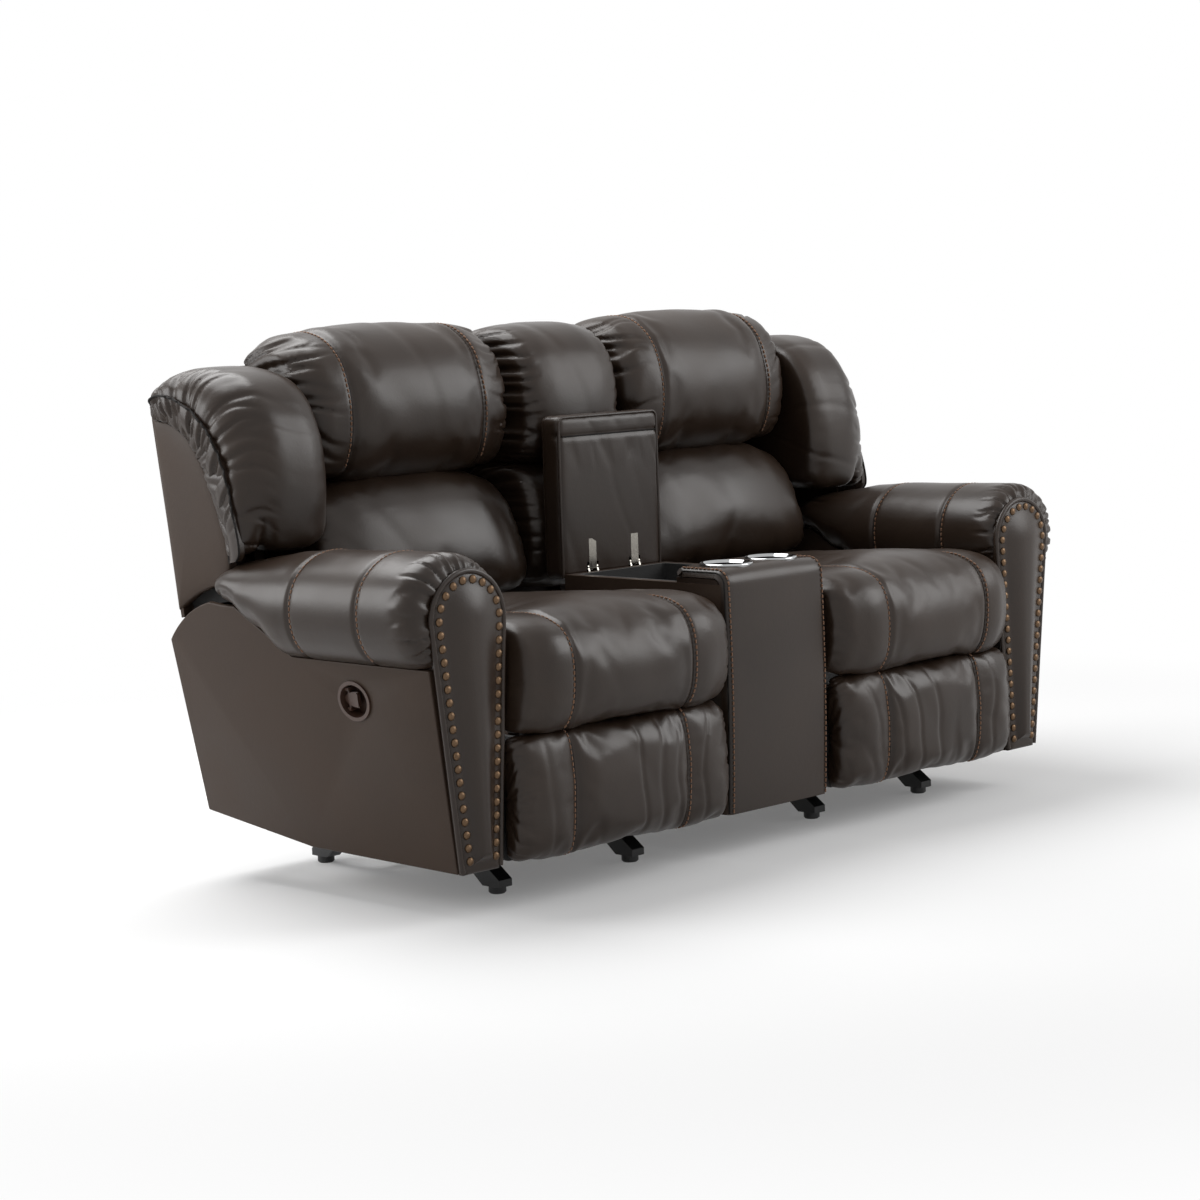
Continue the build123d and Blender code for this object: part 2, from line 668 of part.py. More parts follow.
with BuildPart() as cup_holders:
    rim = CONSOLE_RIM + TOP_PAD + 2 * REST_GAP
    for x, y in cup_spots:
        with BuildSketch(Plane(origin=(x, y, rim), x_dir=(1, 0, 0), z_dir=(0, -1, 0))):
            with BuildLine():
                Polyline(
                    (CUP_RING - 6, CUP_LIP),
                    (CUP_RADIUS - CUP_WALL, CUP_LIP - 5),
                    (CUP_RADIUS - CUP_WALL, CUP_WALL - CUP_DEPTH),
                    (0, CUP_WALL - CUP_DEPTH),
                    (0, -CUP_DEPTH),
                    (CUP_RADIUS, -CUP_DEPTH),
                    (CUP_RADIUS, 0),
                    (CUP_RING, 0),
                    (CUP_RING, CUP_LIP - 4),
                    close=True,
                )
            make_face()
        revolve(axis=Axis((x, y, 0), (0, 0, 1)))
save(cup_holders, "cup_holders")

# The lid is stored open, upright behind the box
lid_face = lid_y - LID_AXIS_RISE + LID_LIFT
lid_top = lid_z + lid_y - arm_front - TOP_LENGTH - 4
hinge_xs = [t * HINGE_SPACING / 2 for t in (-1, 1)]
cheek = 4.0
with BuildPart() as lid_hinge_brackets:
    plate_face = console_rear + REST_GAP
    plate_top = CONSOLE_RIM - 2
    for x in hinge_xs:
        with BuildSketch(Plane.YZ.offset(x - HINGE_WIDTH / 2)):
            slab(plate_face, plate_face + LEAF, plate_top - 55, plate_top)
        extrude(amount=HINGE_WIDTH)
        for start in (x - HINGE_WIDTH / 2, x + HINGE_WIDTH / 2 - cheek):
            with BuildSketch(Plane.YZ.offset(start)):
                with Locations((lid_y, lid_z)):
                    Circle(KNUCKLE)
                with BuildLine():
                    Polyline(
                        (plate_face, plate_top),
                        (plate_face, plate_top - 24),
                        (plate_face + LEAF, plate_top - 24),
                        (lid_y + 5, lid_z - 4),
                        (lid_y - 5, lid_z + 4),
                        close=True,
                    )
                make_face()
            extrude(amount=cheek)
        with BuildSketch(Plane.YZ.offset(x - HINGE_WIDTH / 2)):
            with Locations((lid_y, lid_z)):
                Circle(HINGE_PIN)
        extrude(amount=HINGE_WIDTH)
save(lid_hinge_brackets, "lid_hinge_brackets")

strap_half = HINGE_WIDTH / 2 - cheek - REST_GAP
with BuildPart() as lid_hinge_straps:
    for x in hinge_xs:
        with BuildSketch(Plane.YZ.offset(x - strap_half)):
            with Locations((lid_y, lid_z)):
                Circle(KNUCKLE)
            slab(lid_face - REST_GAP - LEAF, lid_face - REST_GAP, lid_z, lid_z + 60)
            with Locations((lid_y, lid_z)):
                Circle(HINGE_PIN + RUNNING, mode=Mode.SUBTRACT)
        extrude(amount=2 * strap_half)
save(lid_hinge_straps, "lid_hinge_straps")

with BuildPart() as console_lid:
    with BuildSketch(Plane.XZ.offset(-lid_face)):
        slab(-console_half, console_half, lid_z - LID_TAIL, lid_top, 12)
    extrude(amount=-LID_THICK)
    fillet(console_lid.faces().sort_by(Axis.Y)[-1].edges(), 11)
    # Pockets for the hinge knuckles
    for x in hinge_xs:
        with BuildSketch(Plane.YZ.offset(x - HINGE_WIDTH / 2 - 2)):
            slab(lid_face - 1, lid_y + KNUCKLE + 3, lid_z - LID_TAIL - 1, lid_z + KNUCKLE + 3)
        extrude(amount=HINGE_WIDTH + 4, mode=Mode.SUBTRACT)
save(console_lid, "console_lid")

# Fixed back between the two reclining ones
centre_half = console_half - SIDE_GAP
with BuildPart() as centre_back_frame:
    post_out = console_half - 20 - REST_GAP
    with BuildSketch(lean_plane()):
        for t in (-1, 1):
            slab(t * post_out, t * (post_out - 40), along(rail_low + 10), along(frame_top))
        for low in (rail_high + 60, lumbar_bottom + 20, lumbar_top - 30, frame_top - 60):
            slab(-post_out, post_out, along(low), along(low + 60))
    extrude(amount=-BACK_BOARD)
    with BuildSketch(lean_plane(BACK_BOARD)):
        slab(-centre_half, centre_half, along(rail_high + 50), along(shell_top))
    extrude(amount=-SHELL)
save(centre_back_frame, "centre_back_frame")


def rest_line(z):
    # Where a back cushion's rear lies against its frame
    return frame_front(z) - REST_GAP / cos(lean)


def back_pad(label, stations, low, high, front):
    # Straight against the frame, rounded over its front
    outline = [
        (front + 20, low + 7, 3.0),
        (rest_line(low), low, 0),
        (rest_line(high - 3), high - 3, 5.0),
        (front + 58, high + 3, 13.0),
        (front, low + (high - low) * 0.52, 9.0),
    ]
    middle = (low + high) / 2
    pad(label, stations, outline, (rest_line(middle), middle))


lid_rear = lid_face + LID_THICK
centre_stations = pad_stations(0, centre_half - 7, (), (0.16, 0.05, 0.02), 10.0)
back_pad("centre_lumbar", centre_stations, lumbar_bottom, lumbar_top - 10, lid_rear + 12)
back_pad("centre_head", centre_stations, lumbar_top, HEIGHT - 12, lid_rear + 16)

# Reclining backs
back_centre = (back_in + back_out) / 2
back_half = (back_out - back_in) / 2
shell_low = recline_z + above_pivot(SHELL_EDGE)
wing_low = recline_z + wing_sweep - 4
wing_rise = wing_top - wing_low
wing_in = back_out + 4
wing_out = arm_inner + 168


def wing_z(share):
    return wing_low + share * wing_rise


for side, s in SIDES:
    with BuildPart() as back_frame:
        with BuildSketch(lean_plane()):
            slab(s * seat_x - frame_half, s * seat_x + frame_half, along(frame_bottom), along(frame_top))
            slab(s * seat_x, s * (shell_side - 13), along(wing_low + 38), along(wing_top - 35))
            fillet(outer_corner(s), FRAME_CORNER)
            step = (frame_top - frame_bottom) / 3
            for row in range(3):
                middle = frame_bottom + (row + 0.5) * step
                with Locations([(s * seat_x + column * 178, along(middle)) for column in (-1, 0, 1)]):
                    RectangleRounded(138, step - 56, 12, mode=Mode.SUBTRACT)
        extrude(amount=-BACK_BOARD)
    save(back_frame, f"{side}_back_frame")

    with BuildPart() as back_hinges:
        for t in (-1, 1):
            with BuildSketch(Plane.YZ.offset(s * seat_x + t * (frame_half + REST_GAP))):
                with Locations((pivot_y, recline_z)):
                    Circle(18)
                with BuildLine():
                    Polyline(
                        (pivot_y - 12, recline_z + 13),
                        (pivot_y + 12, recline_z - 13),
                        (frame_front(frame_bottom) + 26, frame_bottom + 12),
                        (frame_front(frame_bottom + 125) + 26, frame_bottom + 125),
                        (frame_front(frame_bottom + 125) - 2, frame_bottom + 125),
                        (frame_front(frame_bottom) - 6, frame_bottom + 42),
                        close=True,
                    )
                make_face()
                with Locations((pivot_y, recline_z)):
                    Circle(BACK_PIN + RUNNING, mode=Mode.SUBTRACT)
            extrude(amount=t * 5)
    save(back_hinges, f"{side}_back_hinges")

    # Outside shell: rear panel, wider above the arm's shoulder, and a side panel.
    # The side panel's hem is struck about the recline pivot.
    with BuildPart() as back_shell:
        with BuildSketch(lean_plane(BACK_BOARD + REST_GAP)):
            slab(s * back_in, s * (shell_side + 12), along(shell_low), along(shell_top))
            slab(s * back_in, s * (arm_inner - 12), along(frame_bottom), along(shell_low + 1))
            fillet(outer_corner(s), SHELL_CORNER)
        extrude(amount=-SHELL)
        hem = []
        for angle in (6, 21, 37):
            turn = radians(angle)
            hem.append((pivot_y + SHELL_SWEEP * sin(turn), recline_z + SHELL_SWEEP * cos(turn)))
        corner_y = frame_front(wing_z(0.7)) + shell_depth / cos(lean) ** 2 - 4
        with BuildSketch(Plane.YZ.offset(s * shell_side)):
            with BuildLine():
                ThreePointArc(*hem)
                Polyline(
                    hem[2],
                    (corner_y, wing_z(0.7)),
                    (pivot_y + 117, wing_z(0.575)),
                    (pivot_y + 62, wing_z(0.31)),
                    (pivot_y + 30, wing_z(0.02)),
                    hem[0],
                )
            make_face()
        extrude(amount=s * 12)
    save(back_shell, f"{side}_back_shell")

    # Wing: lies on the frame inside, wraps forward of the side panel outside
    inner_wing = [
        (pivot_y - 62, wing_z(0.012), 4.0),
        (pivot_y + 140, wing_z(0.02), 0),
        (rest_line(wing_z(0.27)), wing_z(0.27), 0),
        (rest_line(wing_z(0.94)), wing_z(0.94), 5.0),
        (pivot_y + 110, wing_top, 10.0),
        (pivot_y - 10, wing_z(0.915), 11.0),
        (pivot_y - 76, wing_z(0.65), 4.0),
        (pivot_y - 78, wing_z(0.28), 5.0),
    ]
    outer_wing = [
        (pivot_y - 55, wing_z(0.025), 3.0),
        (pivot_y + 20, wing_z(0.03), 0),
        (pivot_y + 52, wing_z(0.32), 0),
        (pivot_y + 196, wing_z(0.93), 5.0),
        (pivot_y + 105, wing_top - 4, 9.0),
        (pivot_y - 6, wing_z(0.9), 10.0),
        (pivot_y - 64, wing_z(0.65), 4.0),
        (pivot_y - 66, wing_z(0.28), 5.0),
    ]
    wing_base = (pivot_y + 60, wing_z(0.55))
    wing_stations = (
        (wing_in, 0.1, inner_wing),
        (wing_in + 40, 0.0, inner_wing),
        (shell_side - 13, 0.0, inner_wing),
        (shell_side - 1, 0.0, outer_wing),
        (wing_out - 20, 0.04, outer_wing),
        (wing_out, 0.3, outer_wing),
    )
    with BuildPart() as wing_cushion:
        rings = []
        for x, pull, outline in wing_stations:
            rings.append([(s * x, y, z) for y, z in bowed(drawn_in(outline, wing_base, pull))])
        skin(rings)
    save(wing_cushion, f"{side}_wing_cushion")

    back_stations = pad_stations(s * back_centre, back_half, (), (0.2, 0.07, 0.02), 16.0)
    back_pad(f"{side}_lumbar_cushion", back_stations, lumbar_bottom, lumbar_top, pivot_y - 68)

    head_low = lumbar_top + SIDE_GAP
    head_outline = [
        (pivot_y - 20, head_low + 5, 0),
        (rest_line(head_low), head_low, 0),
        (rest_line(head_low + 231), head_low + 231, 7.0),
        (pivot_y + 185, HEIGHT - 9.7, 7.0),
        (pivot_y + 30, HEIGHT - 4.7, 26.0),
        (pivot_y - 68, head_low + 189, 8.0),
        (pivot_y - 60, head_low + 81, 8.0),
    ]
    head_base = (rest_line(head_low + 130), head_low + 130)
    head_stations = pad_stations(s * back_centre, back_half, (-175, 175), (0.32, 0.12, 0.02), 17.0)
    pad(f"{side}_head_pillow", head_stations, head_outline, head_base)

# Seats
seat_front = arm_front + 75
seat_rear = pivot_y - 65
leg = 4.0
leg_x = 4 * layer + PLATE + 0.5
deck = SEAT_DECK - 4
bar_count = 4
for side, s in SIDES:
    half = plate_in - leg_x
    with BuildPart() as seat_frame:
        for t in (-1, 1):
            edge = s * seat_x + t * half
            with BuildSketch(Plane.YZ.offset(edge)):
                slab(seat_front, seat_rear, runner_z - 22, deck)
                with Locations([(y + SEAT_TRAVEL / 2, runner_z) for y in runner_pins]):
                    gauge = 2 * (RUNNER_PIN + RUNNING)
                    SlotOverall(SEAT_TRAVEL + gauge, gauge, mode=Mode.SUBTRACT)
            extrude(amount=-t * leg)
            with BuildSketch(Plane.YZ.offset(edge)):
                slab(seat_front, seat_rear, deck - leg, deck)
            extrude(amount=-t * 30)
        pitch = (seat_rear - seat_front - 30) / (bar_count - 1)
        for number in range(bar_count):
            start = seat_front + number * pitch
            with BuildSketch(Plane.YZ.offset(s * seat_x - half)):
                slab(start, start + 30, deck - 14, deck)
            extrude(amount=2 * half)
    save(seat_frame, f"{side}_seat_frame")

    with BuildPart() as seat_webbing:
        for number in range(bar_count):
            middle = s * seat_x + (number - 1.5) * 2 * half / bar_count
            with BuildSketch(Plane.XY.offset(deck + REST_GAP)):
                slab(middle - 30, middle + 30, seat_front + 6, seat_rear - 6)
            extrude(amount=SEAT_DECK - deck - 2 * REST_GAP)
    save(seat_webbing, f"{side}_seat_webbing")

    # Cushion with a rolled lip over the footrest
    crown = SEAT_DECK + SEAT_CROWN
    seat_outline = [
        (arm_front - 40, SEAT_DECK - 43, 6.0),
        (arm_front + 5, SEAT_DECK - 58, 0),
        (arm_front + 18, SEAT_DECK, 0),
        (pivot_y - 52, SEAT_DECK, 6.0),
        (pivot_y - 60, crown - 41, 18.0),
        (arm_front + 10, crown, 18.0),
        (arm_front - 58.6, crown - 86, 8.0),
    ]
    seat_stations = pad_stations(s * seat_x, seat_half - SIDE_GAP, (-160, 160), (0.56, 0.38, 0.1), 24.0)
    pad(f"{side}_seat_cushion", seat_stations, seat_outline, (arm_front + 260, SEAT_DECK))

# Footrests, each on two equal linkages
link_layers = [plate_in - LAYER_GAP - PLATE - number * layer for number in range(4)]


def link_bar(start, end):
    run = hypot(end[0] - start[0], end[1] - start[1])
    turn = atan2(end[1] - start[1], end[0] - start[0])
    with Locations(((start[0] + end[0]) / 2, (start[1] + end[1]) / 2)):
        SlotCenterToCenter(run, LINK_WIDTH, rotation=degrees(turn))


def link(x, t, number, bars, holes, pins):
    # Bars of one layer, with running holes, and pins that reach inwards through the next layer
    face = Plane.YZ.offset(x + t * link_layers[number])
    with BuildSketch(face) as flat:
        for start, end in bars:
            link_bar(start, end)
        with Locations(holes):
            Circle(PIN + RUNNING, mode=Mode.SUBTRACT)
    extrude(flat.sketch, amount=t * PLATE)
    with BuildSketch(face) as rounds:
        with Locations(pins):
            Circle(PIN)
    extrude(rounds.sketch, amount=-t * layer)


for side, s in SIDES:
    x = s * seat_x
    with BuildPart() as rear_link:
        for t in (-1, 1):
            link(x, t, 0, [(rear_swing, knee)], [rear_swing], [knee])
    save(rear_link, f"{side}_rear_link")

    with BuildPart() as carrier_link:
        for t in (-1, 1):
            link(x, t, 1, [(knee, elbow), (elbow, tip)], [knee], [elbow, tip])
    save(carrier_link, f"{side}_carrier_link")

    with BuildPart() as swing_link:
        for t in (-1, 1):
            link(x, t, 2, [(swing, elbow), (elbow, control)], [swing, elbow], [control])
    save(swing_link, f"{side}_swing_link")

    with BuildPart() as control_link:
        for t in (-1, 1):
            face = Plane.YZ.offset(x + t * link_layers[3])
            with BuildSketch(face):
                link_bar(control, control_tip)
                with Locations(control, control_tip):
                    Circle(PIN + RUNNING, mode=Mode.SUBTRACT)
            extrude(amount=t * PLATE)
    save(control_link, f"{side}_control_link")

    board_front = arm_front + 22 + REST_GAP
    board_rear = board_front + PANEL
    with BuildPart() as footrest_board:
        for t in (-1, 1):
            link(x, t, 2, [(tip, control_tip)], [tip], [control_tip])
            with BuildSketch(Plane.YZ.offset(x + t * link_layers[2])):
                slab(board_rear - 2, tip[0] - PIN - 3, tip[1] - 18, control_tip[1] + 14)
            extrude(amount=t * PLATE)
        with BuildSketch(Plane.XZ.offset(-board_front)):
            slab(x - seat_half + 18, x + seat_half - 18, PANEL_BOTTOM + 4, swing_z - 11, 20)
        extrude(amount=-PANEL)
    save(footrest_board, f"{side}_footrest_board")

    rest_low = PANEL_BOTTOM - 4
    rest_outline = [
        (arm_front - 18, rest_low, 0),
        (arm_front + 22, rest_low + 4, 0),
        (arm_front + 22, swing_z - 5, 4.0),
        (arm_front - 14, swing_z + 1, 8.0),
        (arm_front - 38, rest_low + 116, 8.0),
    ]
    rest_stations = pad_stations(x, seat_half - 15, (-150, 150), (0.4, 0.12, 0.02), 20.0)
    pad(f"{side}_footrest_cushion", rest_stations, rest_outline, (arm_front + 22, rest_low + 116))
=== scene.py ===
import json
import math

import bmesh
import bpy
import numpy as np
from mathutils import Matrix, Vector, noise


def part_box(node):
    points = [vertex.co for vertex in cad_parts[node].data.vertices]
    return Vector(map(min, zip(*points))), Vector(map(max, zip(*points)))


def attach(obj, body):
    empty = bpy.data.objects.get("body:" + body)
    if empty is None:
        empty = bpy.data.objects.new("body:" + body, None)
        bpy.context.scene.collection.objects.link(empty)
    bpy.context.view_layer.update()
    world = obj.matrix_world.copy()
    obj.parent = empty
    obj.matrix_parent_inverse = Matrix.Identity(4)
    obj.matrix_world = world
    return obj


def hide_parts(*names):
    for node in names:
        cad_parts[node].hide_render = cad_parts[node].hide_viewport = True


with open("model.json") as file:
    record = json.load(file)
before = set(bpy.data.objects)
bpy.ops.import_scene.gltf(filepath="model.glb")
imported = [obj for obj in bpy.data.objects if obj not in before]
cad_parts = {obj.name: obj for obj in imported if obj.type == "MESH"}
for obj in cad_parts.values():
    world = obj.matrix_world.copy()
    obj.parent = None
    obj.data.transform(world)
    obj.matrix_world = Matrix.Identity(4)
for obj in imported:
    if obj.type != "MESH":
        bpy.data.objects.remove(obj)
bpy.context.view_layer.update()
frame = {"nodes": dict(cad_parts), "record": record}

scene = bpy.context.scene
nodes = frame["nodes"]
sides = (("left", -1), ("right", 1))
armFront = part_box("console_body")[0].y  # plane of the arm facings and the console front
print("stage: frame loaded")


# Small tools
def hexLinear(code):  # sRGB hex to linear colour
    parts = [int(code[i:i + 2], 16) / 255 for i in (1, 3, 5)]
    return tuple(c / 12.92 if c <= 0.04045 else ((c + 0.055) / 1.055) ** 2.4 for c in parts) + (1.0,)


def addNode(tree, kind, settings=None, links=None):  # one node with its settings, sockets and incoming links
    node = tree.nodes.new("ShaderNode" + kind)
    for key, value in (settings or {}).items():
        if isinstance(key, str) and hasattr(node, key):
            setattr(node, key, value)
        else:
            node.inputs[key].default_value = value
    for key, source in (links or {}).items():
        tree.links.new(source, node.inputs[key])
    return node


def newMaterial(name, settings):
    material = bpy.data.materials.new(name)
    material.use_nodes = True
    tree = material.node_tree
    shader = tree.nodes["Principled BSDF"]
    for key, value in settings.items():
        shader.inputs[key].default_value = value
    place = addNode(tree, "TexCoord").outputs["Object"]
    return material, tree, shader, place


def wire(tree, shader, outputs):  # lead node outputs into the shader's sockets
    for key, output in outputs.items():
        tree.links.new(output, shader.inputs[key])


def deselect():
    bpy.ops.object.select_all(action="DESELECT")


def activate(piece):
    deselect()
    piece.select_set(True)
    bpy.context.view_layer.objects.active = piece


def applyModifier(piece, kind, settings):
    modifier = piece.modifiers.new(kind.lower(), kind)
    for key, value in settings.items():
        setattr(modifier, key, value)
    activate(piece)
    bpy.ops.object.modifier_apply(modifier=modifier.name)


def editMesh(piece, *edits):  # operators on the whole mesh in edit mode
    activate(piece)
    bpy.ops.object.mode_set(mode="EDIT")
    bpy.ops.mesh.select_all(action="SELECT")
    for edit, settings in edits:
        edit(**settings)
    bpy.ops.object.mode_set(mode="OBJECT")


def meshPiece(name, verts, faces):
    mesh = bpy.data.meshes.new(name)
    mesh.from_pydata([tuple(v) for v in verts], [], faces)
    mesh.update()
    piece = bpy.data.objects.new(name, mesh)
    scene.collection.objects.link(piece)
    return piece


def basicForm(name, add, **settings):  # what one of Blender's mesh operators adds, as a named piece
    deselect()
    add(**settings)
    piece = bpy.context.object
    piece.name = piece.data.name = name
    bpy.ops.object.transform_apply(location=True, rotation=True, scale=True)
    return piece


def cubePiece(name, middle, size):
    return basicForm(name, bpy.ops.mesh.primitive_cube_add, size=1, location=middle, scale=size)


def cutAway(piece, tool):
    applyModifier(piece, "BOOLEAN", {"operation": "DIFFERENCE", "object": tool, "solver": "EXACT"})
    bpy.data.objects.remove(tool)


def readVectors(mesh, kind):
    values = np.empty(len(mesh.vertices) * 3)
    mesh.vertices.foreach_get(kind, values)
    return values.reshape(-1, 3)


def readPoints(piece):
    return readVectors(piece.data, "co")


def writePoints(piece, points):
    piece.data.vertices.foreach_set("co", np.ascontiguousarray(points, dtype=float).ravel())
    piece.data.update()


def outwards(piece):  # merge doubles and turn every face outwards
    merge = (bpy.ops.mesh.remove_doubles, {"threshold": 1e-5})
    editMesh(piece, merge, (bpy.ops.mesh.normals_make_consistent, {"inside": False}))


def takeShape(model):  # points and faces of a small model that will be copied
    shape, polygons = readPoints(model), [tuple(p.vertices) for p in model.data.polygons]
    bpy.data.objects.remove(model)
    return shape, polygons


def joinCopies(name, polygons, copies):  # one mesh from placed copies of a small model
    verts, faces = [], []
    for points in copies:
        faces += [tuple(i + len(verts) for i in p) for p in polygons]
        verts += list(points)
    piece = meshPiece(name, verts, faces)
    outwards(piece)
    return piece


def bothSides(right, label):  # the right piece and its mirrored twin, with their side names and signs
    twin = right.copy()
    twin.data = right.data.copy()
    twin.name = twin.data.name = f"left{label}"
    scene.collection.objects.link(twin)
    twin.data.transform(Matrix.Scale(-1, 4, (1, 0, 0)))
    twin.data.flip_normals()
    return [(*side, piece) for side, piece in zip(sides, (twin, right))]


def finishPiece(piece, material, body="rocking_frame", replaced=None, angle=40):
    # Its material, what it rides on and the node it stands in for
    piece.data.materials.clear()
    piece.data.materials.append(material)
    activate(piece)
    bpy.ops.object.shade_smooth_by_angle(angle=math.radians(angle))
    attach(piece, body)
    if replaced:
        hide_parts(replaced)


# Materials
middleNoise = {"From Min": 0.3, "From Max": 0.7}  # the range that noise mostly fills


def twoTones(first, second):  # settings of a colour mix
    return {"data_type": "RGBA", 6: hexLinear(first), 7: hexLinear(second)}


def makeLeather(name, tone, dark, gloss, sheen):
    # Bonded cowhide, embossed and lacquered: fine grain, soft broad gloss, colour a little uneven
    material, tree, shader, place = newMaterial(name, {"IOR": 1.48, "Specular IOR Level": sheen})
    pebbleMm, mottleMm, creaseMm = 2.4, 170, 11.0  # pebble drawn coarser than the real 1 mm, to show
    at = {"Vector": place}
    cloud = addNode(tree, "TexNoise", {"Scale": 1000 / mottleMm, "Detail": 3.0}, at).outputs["Fac"]
    pebble = addNode(tree, "TexVoronoi", {"Scale": 1000 / pebbleMm, "feature": "SMOOTH_F1"}, at)
    crease = addNode(tree, "TexNoise", {"Scale": 1000 / creaseMm, "Detail": 4.0}, at)
    tint = addNode(tree, "Mix", twoTones(dark, tone), {0: cloud})
    glossRange = {**middleNoise, "To Min": gloss - 0.05, "To Max": gloss + 0.06}
    shine = addNode(tree, "MapRange", glossRange, {"Value": cloud})
    fine = addNode(tree, "Bump", {"Strength": 0.14, "Distance": 0.0006}, {"Height": pebble.outputs["Distance"]})
    soft = addNode(tree, "Bump", {"Strength": 0.12, "Distance": 0.0014},
                   {"Height": crease.outputs["Fac"], "Normal": fine.outputs["Normal"]})
    wire(tree, shader, {"Base Color": tint.outputs[2], "Roughness": shine.outputs["Result"]})
    wire(tree, shader, {"Normal": soft.outputs["Normal"]})
    return material


def makeMetal(name, tone, worn, rough, grainMm):
    # Plated or lacquered metal: fine mottling of its gloss, a little paler where it is rubbed
    material, tree, shader, place = newMaterial(name, {"Metallic": 1.0})
    speck = addNode(tree, "TexNoise", {"Scale": 1000 / grainMm, "Detail": 5.0}, {"Vector": place}).outputs["Fac"]
    tint = addNode(tree, "Mix", twoTones(tone, worn), {0: speck})
    glossRange = {**middleNoise, "To Min": rough * 0.8, "To Max": rough * 1.25}
    shine = addNode(tree, "MapRange", glossRange, {"Value": speck})
    wire(tree, shader, {"Base Color": tint.outputs[2], "Roughness": shine.outputs["Result"]})
    return material


def makeMoulded(name, tone, pale, rough, grainMm):
    # Moulded plastic or powder coat: fine orange peel and slight colour drift
    material, tree, shader, place = newMaterial(name, {"IOR": 1.49})
    driftMm = 1000 / 14  # about 71 mm
    peel = addNode(tree, "TexNoise", {"Scale": 1000 / grainMm, "Detail": 3.0}, {"Vector": place}).outputs["Fac"]
    drift = addNode(tree, "TexNoise", {"Scale": 1000 / driftMm, "Detail": 2.0}, {"Vector": place}).outputs["Fac"]
    tint = addNode(tree, "Mix", twoTones(tone, pale), {0: drift})
    glossRange = {**middleNoise, "To Min": rough - 0.05, "To Max": rough + 0.08}
    shine = addNode(tree, "MapRange", glossRange, {"Value": peel})
    bump = addNode(tree, "Bump", {"Strength": 0.12, "Distance": 0.0004}, {"Height": peel})
    wire(tree, shader, {"Base Color": tint.outputs[2], "Roughness": shine.outputs["Result"]})
    wire(tree, shader, {"Normal": bump.outputs["Normal"]})
    return material


def makeWood(name, pale, dark):
    # Poplar plywood, sanded and left bare: straight grain, dull
    material, tree, shader, place = newMaterial(name, {"IOR": 1.45})
    grainMm = 9.0
    grain = {"Scale": 1000 / grainMm / 6.28, "Distortion": 6.0, "Detail": 3.0, "bands_direction": "Z"}
    rings = addNode(tree, "TexWave", grain, {"Vector": place}).outputs["Fac"]
    tint = addNode(tree, "Mix", twoTones(pale, dark), {0: rings})
    shine = addNode(tree, "MapRange", {"To Min": 0.6, "To Max": 0.75}, {"Value": rings})
    wire(tree, shader, {"Base Color": tint.outputs[2], "Roughness": shine.outputs["Result"]})
    return material


def makeCloth(name, tone, pale, threadMm):
    # Plain woven cloth or twisted thread: matt, drawn coarser than the real thread to show
    material, tree, shader, place = newMaterial(name, {"Roughness": 0.9, "Sheen Weight": 0.2})
    warp, weft = (addNode(tree, "TexWave", {"Scale": 1000 / threadMm / 6.28, "bands_direction": way},
                          {"Vector": place}).outputs["Fac"] for way in "XZ")
    weave = addNode(tree, "Math", {"operation": "MULTIPLY"}, {0: warp, 1: weft}).outputs["Value"]
    tint = addNode(tree, "Mix", twoTones(tone, pale), {0: weave})
    bump = addNode(tree, "Bump", {"Strength": 0.3, "Distance": 0.0008}, {"Height": weave})
    wire(tree, shader, {"Base Color": tint.outputs[2], "Normal": bump.outputs["Normal"]})
    return material


leather = makeLeather("lacqueredLeather", "#30241b", "#211812", 0.35, 0.36)
panelLeather = makeLeather("panelLeather", "#3e3128", "#32271f", 0.46, 0.2)
# near-black leather, painted shade: its cords darken the seam grooves; it also colours the wing piping
seamShadeLeather = makeLeather("seamShadeLeather", "#120e0b", "#0c0907", 0.6, 0.2)
thread = makeCloth("bondedThread", "#684935", "#936d4e", 0.9)
bronze = makeMetal("antiqueBronze", "#40342b", "#786049", 0.38, 3.0)
chrome = makeMetal("chromePlate", "#9fa0a1", "#b9babb", 0.09, 30.0)
nickel = makeMetal("nickelPlate", "#86837d", "#a19d95", 0.2, 8.0)
springSteel = makeMetal("springSteel", "#6c6b69", "#8c8a86", 0.35, 5.0)
blackPaint = makeMoulded("blackPowderCoat", "#101010", "#171718", 0.4, 1.6)
blackPlastic = makeMoulded("blackNylon", "#0f0f10", "#161617", 0.46, 2.0)
brownPlastic = makeMoulded("brownAbs", "#3b2a22", "#463228", 0.34, 2.5)
plywood = makeWood("poplarPlywood", "#b5936a", "#9a7a54")
lining = makeCloth("blackCambric", "#0b0a0a", "#171615", 1.6)
webbing = makeCloth("seatWebbing", "#3a342e", "#5a5248", 3.0)
slotFinish = {
    "black_steel": blackPaint, "black_plastic": blackPlastic, "spring_steel": springSteel, "plywood": plywood,
    "bin_lining": lining, "chrome_trim": chrome, "hinge_steel": nickel, "brown_plastic": brownPlastic,
    "webbing": webbing, "brown_leather": panelLeather,
}
coveredNodes = {  # timber under cloth or leather
    "arm_frame": panelLeather, "back_frame": panelLeather, "centre_back_frame": panelLeather,
    "footrest_board": lining, "frame_rails": lining,
}
for part in frame["record"]["subparts"]:
    cover = slotFinish[part["material_slot"]]
    for ending, material in coveredNodes.items():
        if part["node"].endswith(ending):
            cover = material
    nodes[part["node"]].data.materials.clear()
    nodes[part["node"]].data.materials.append(cover)
print("stage: materials")


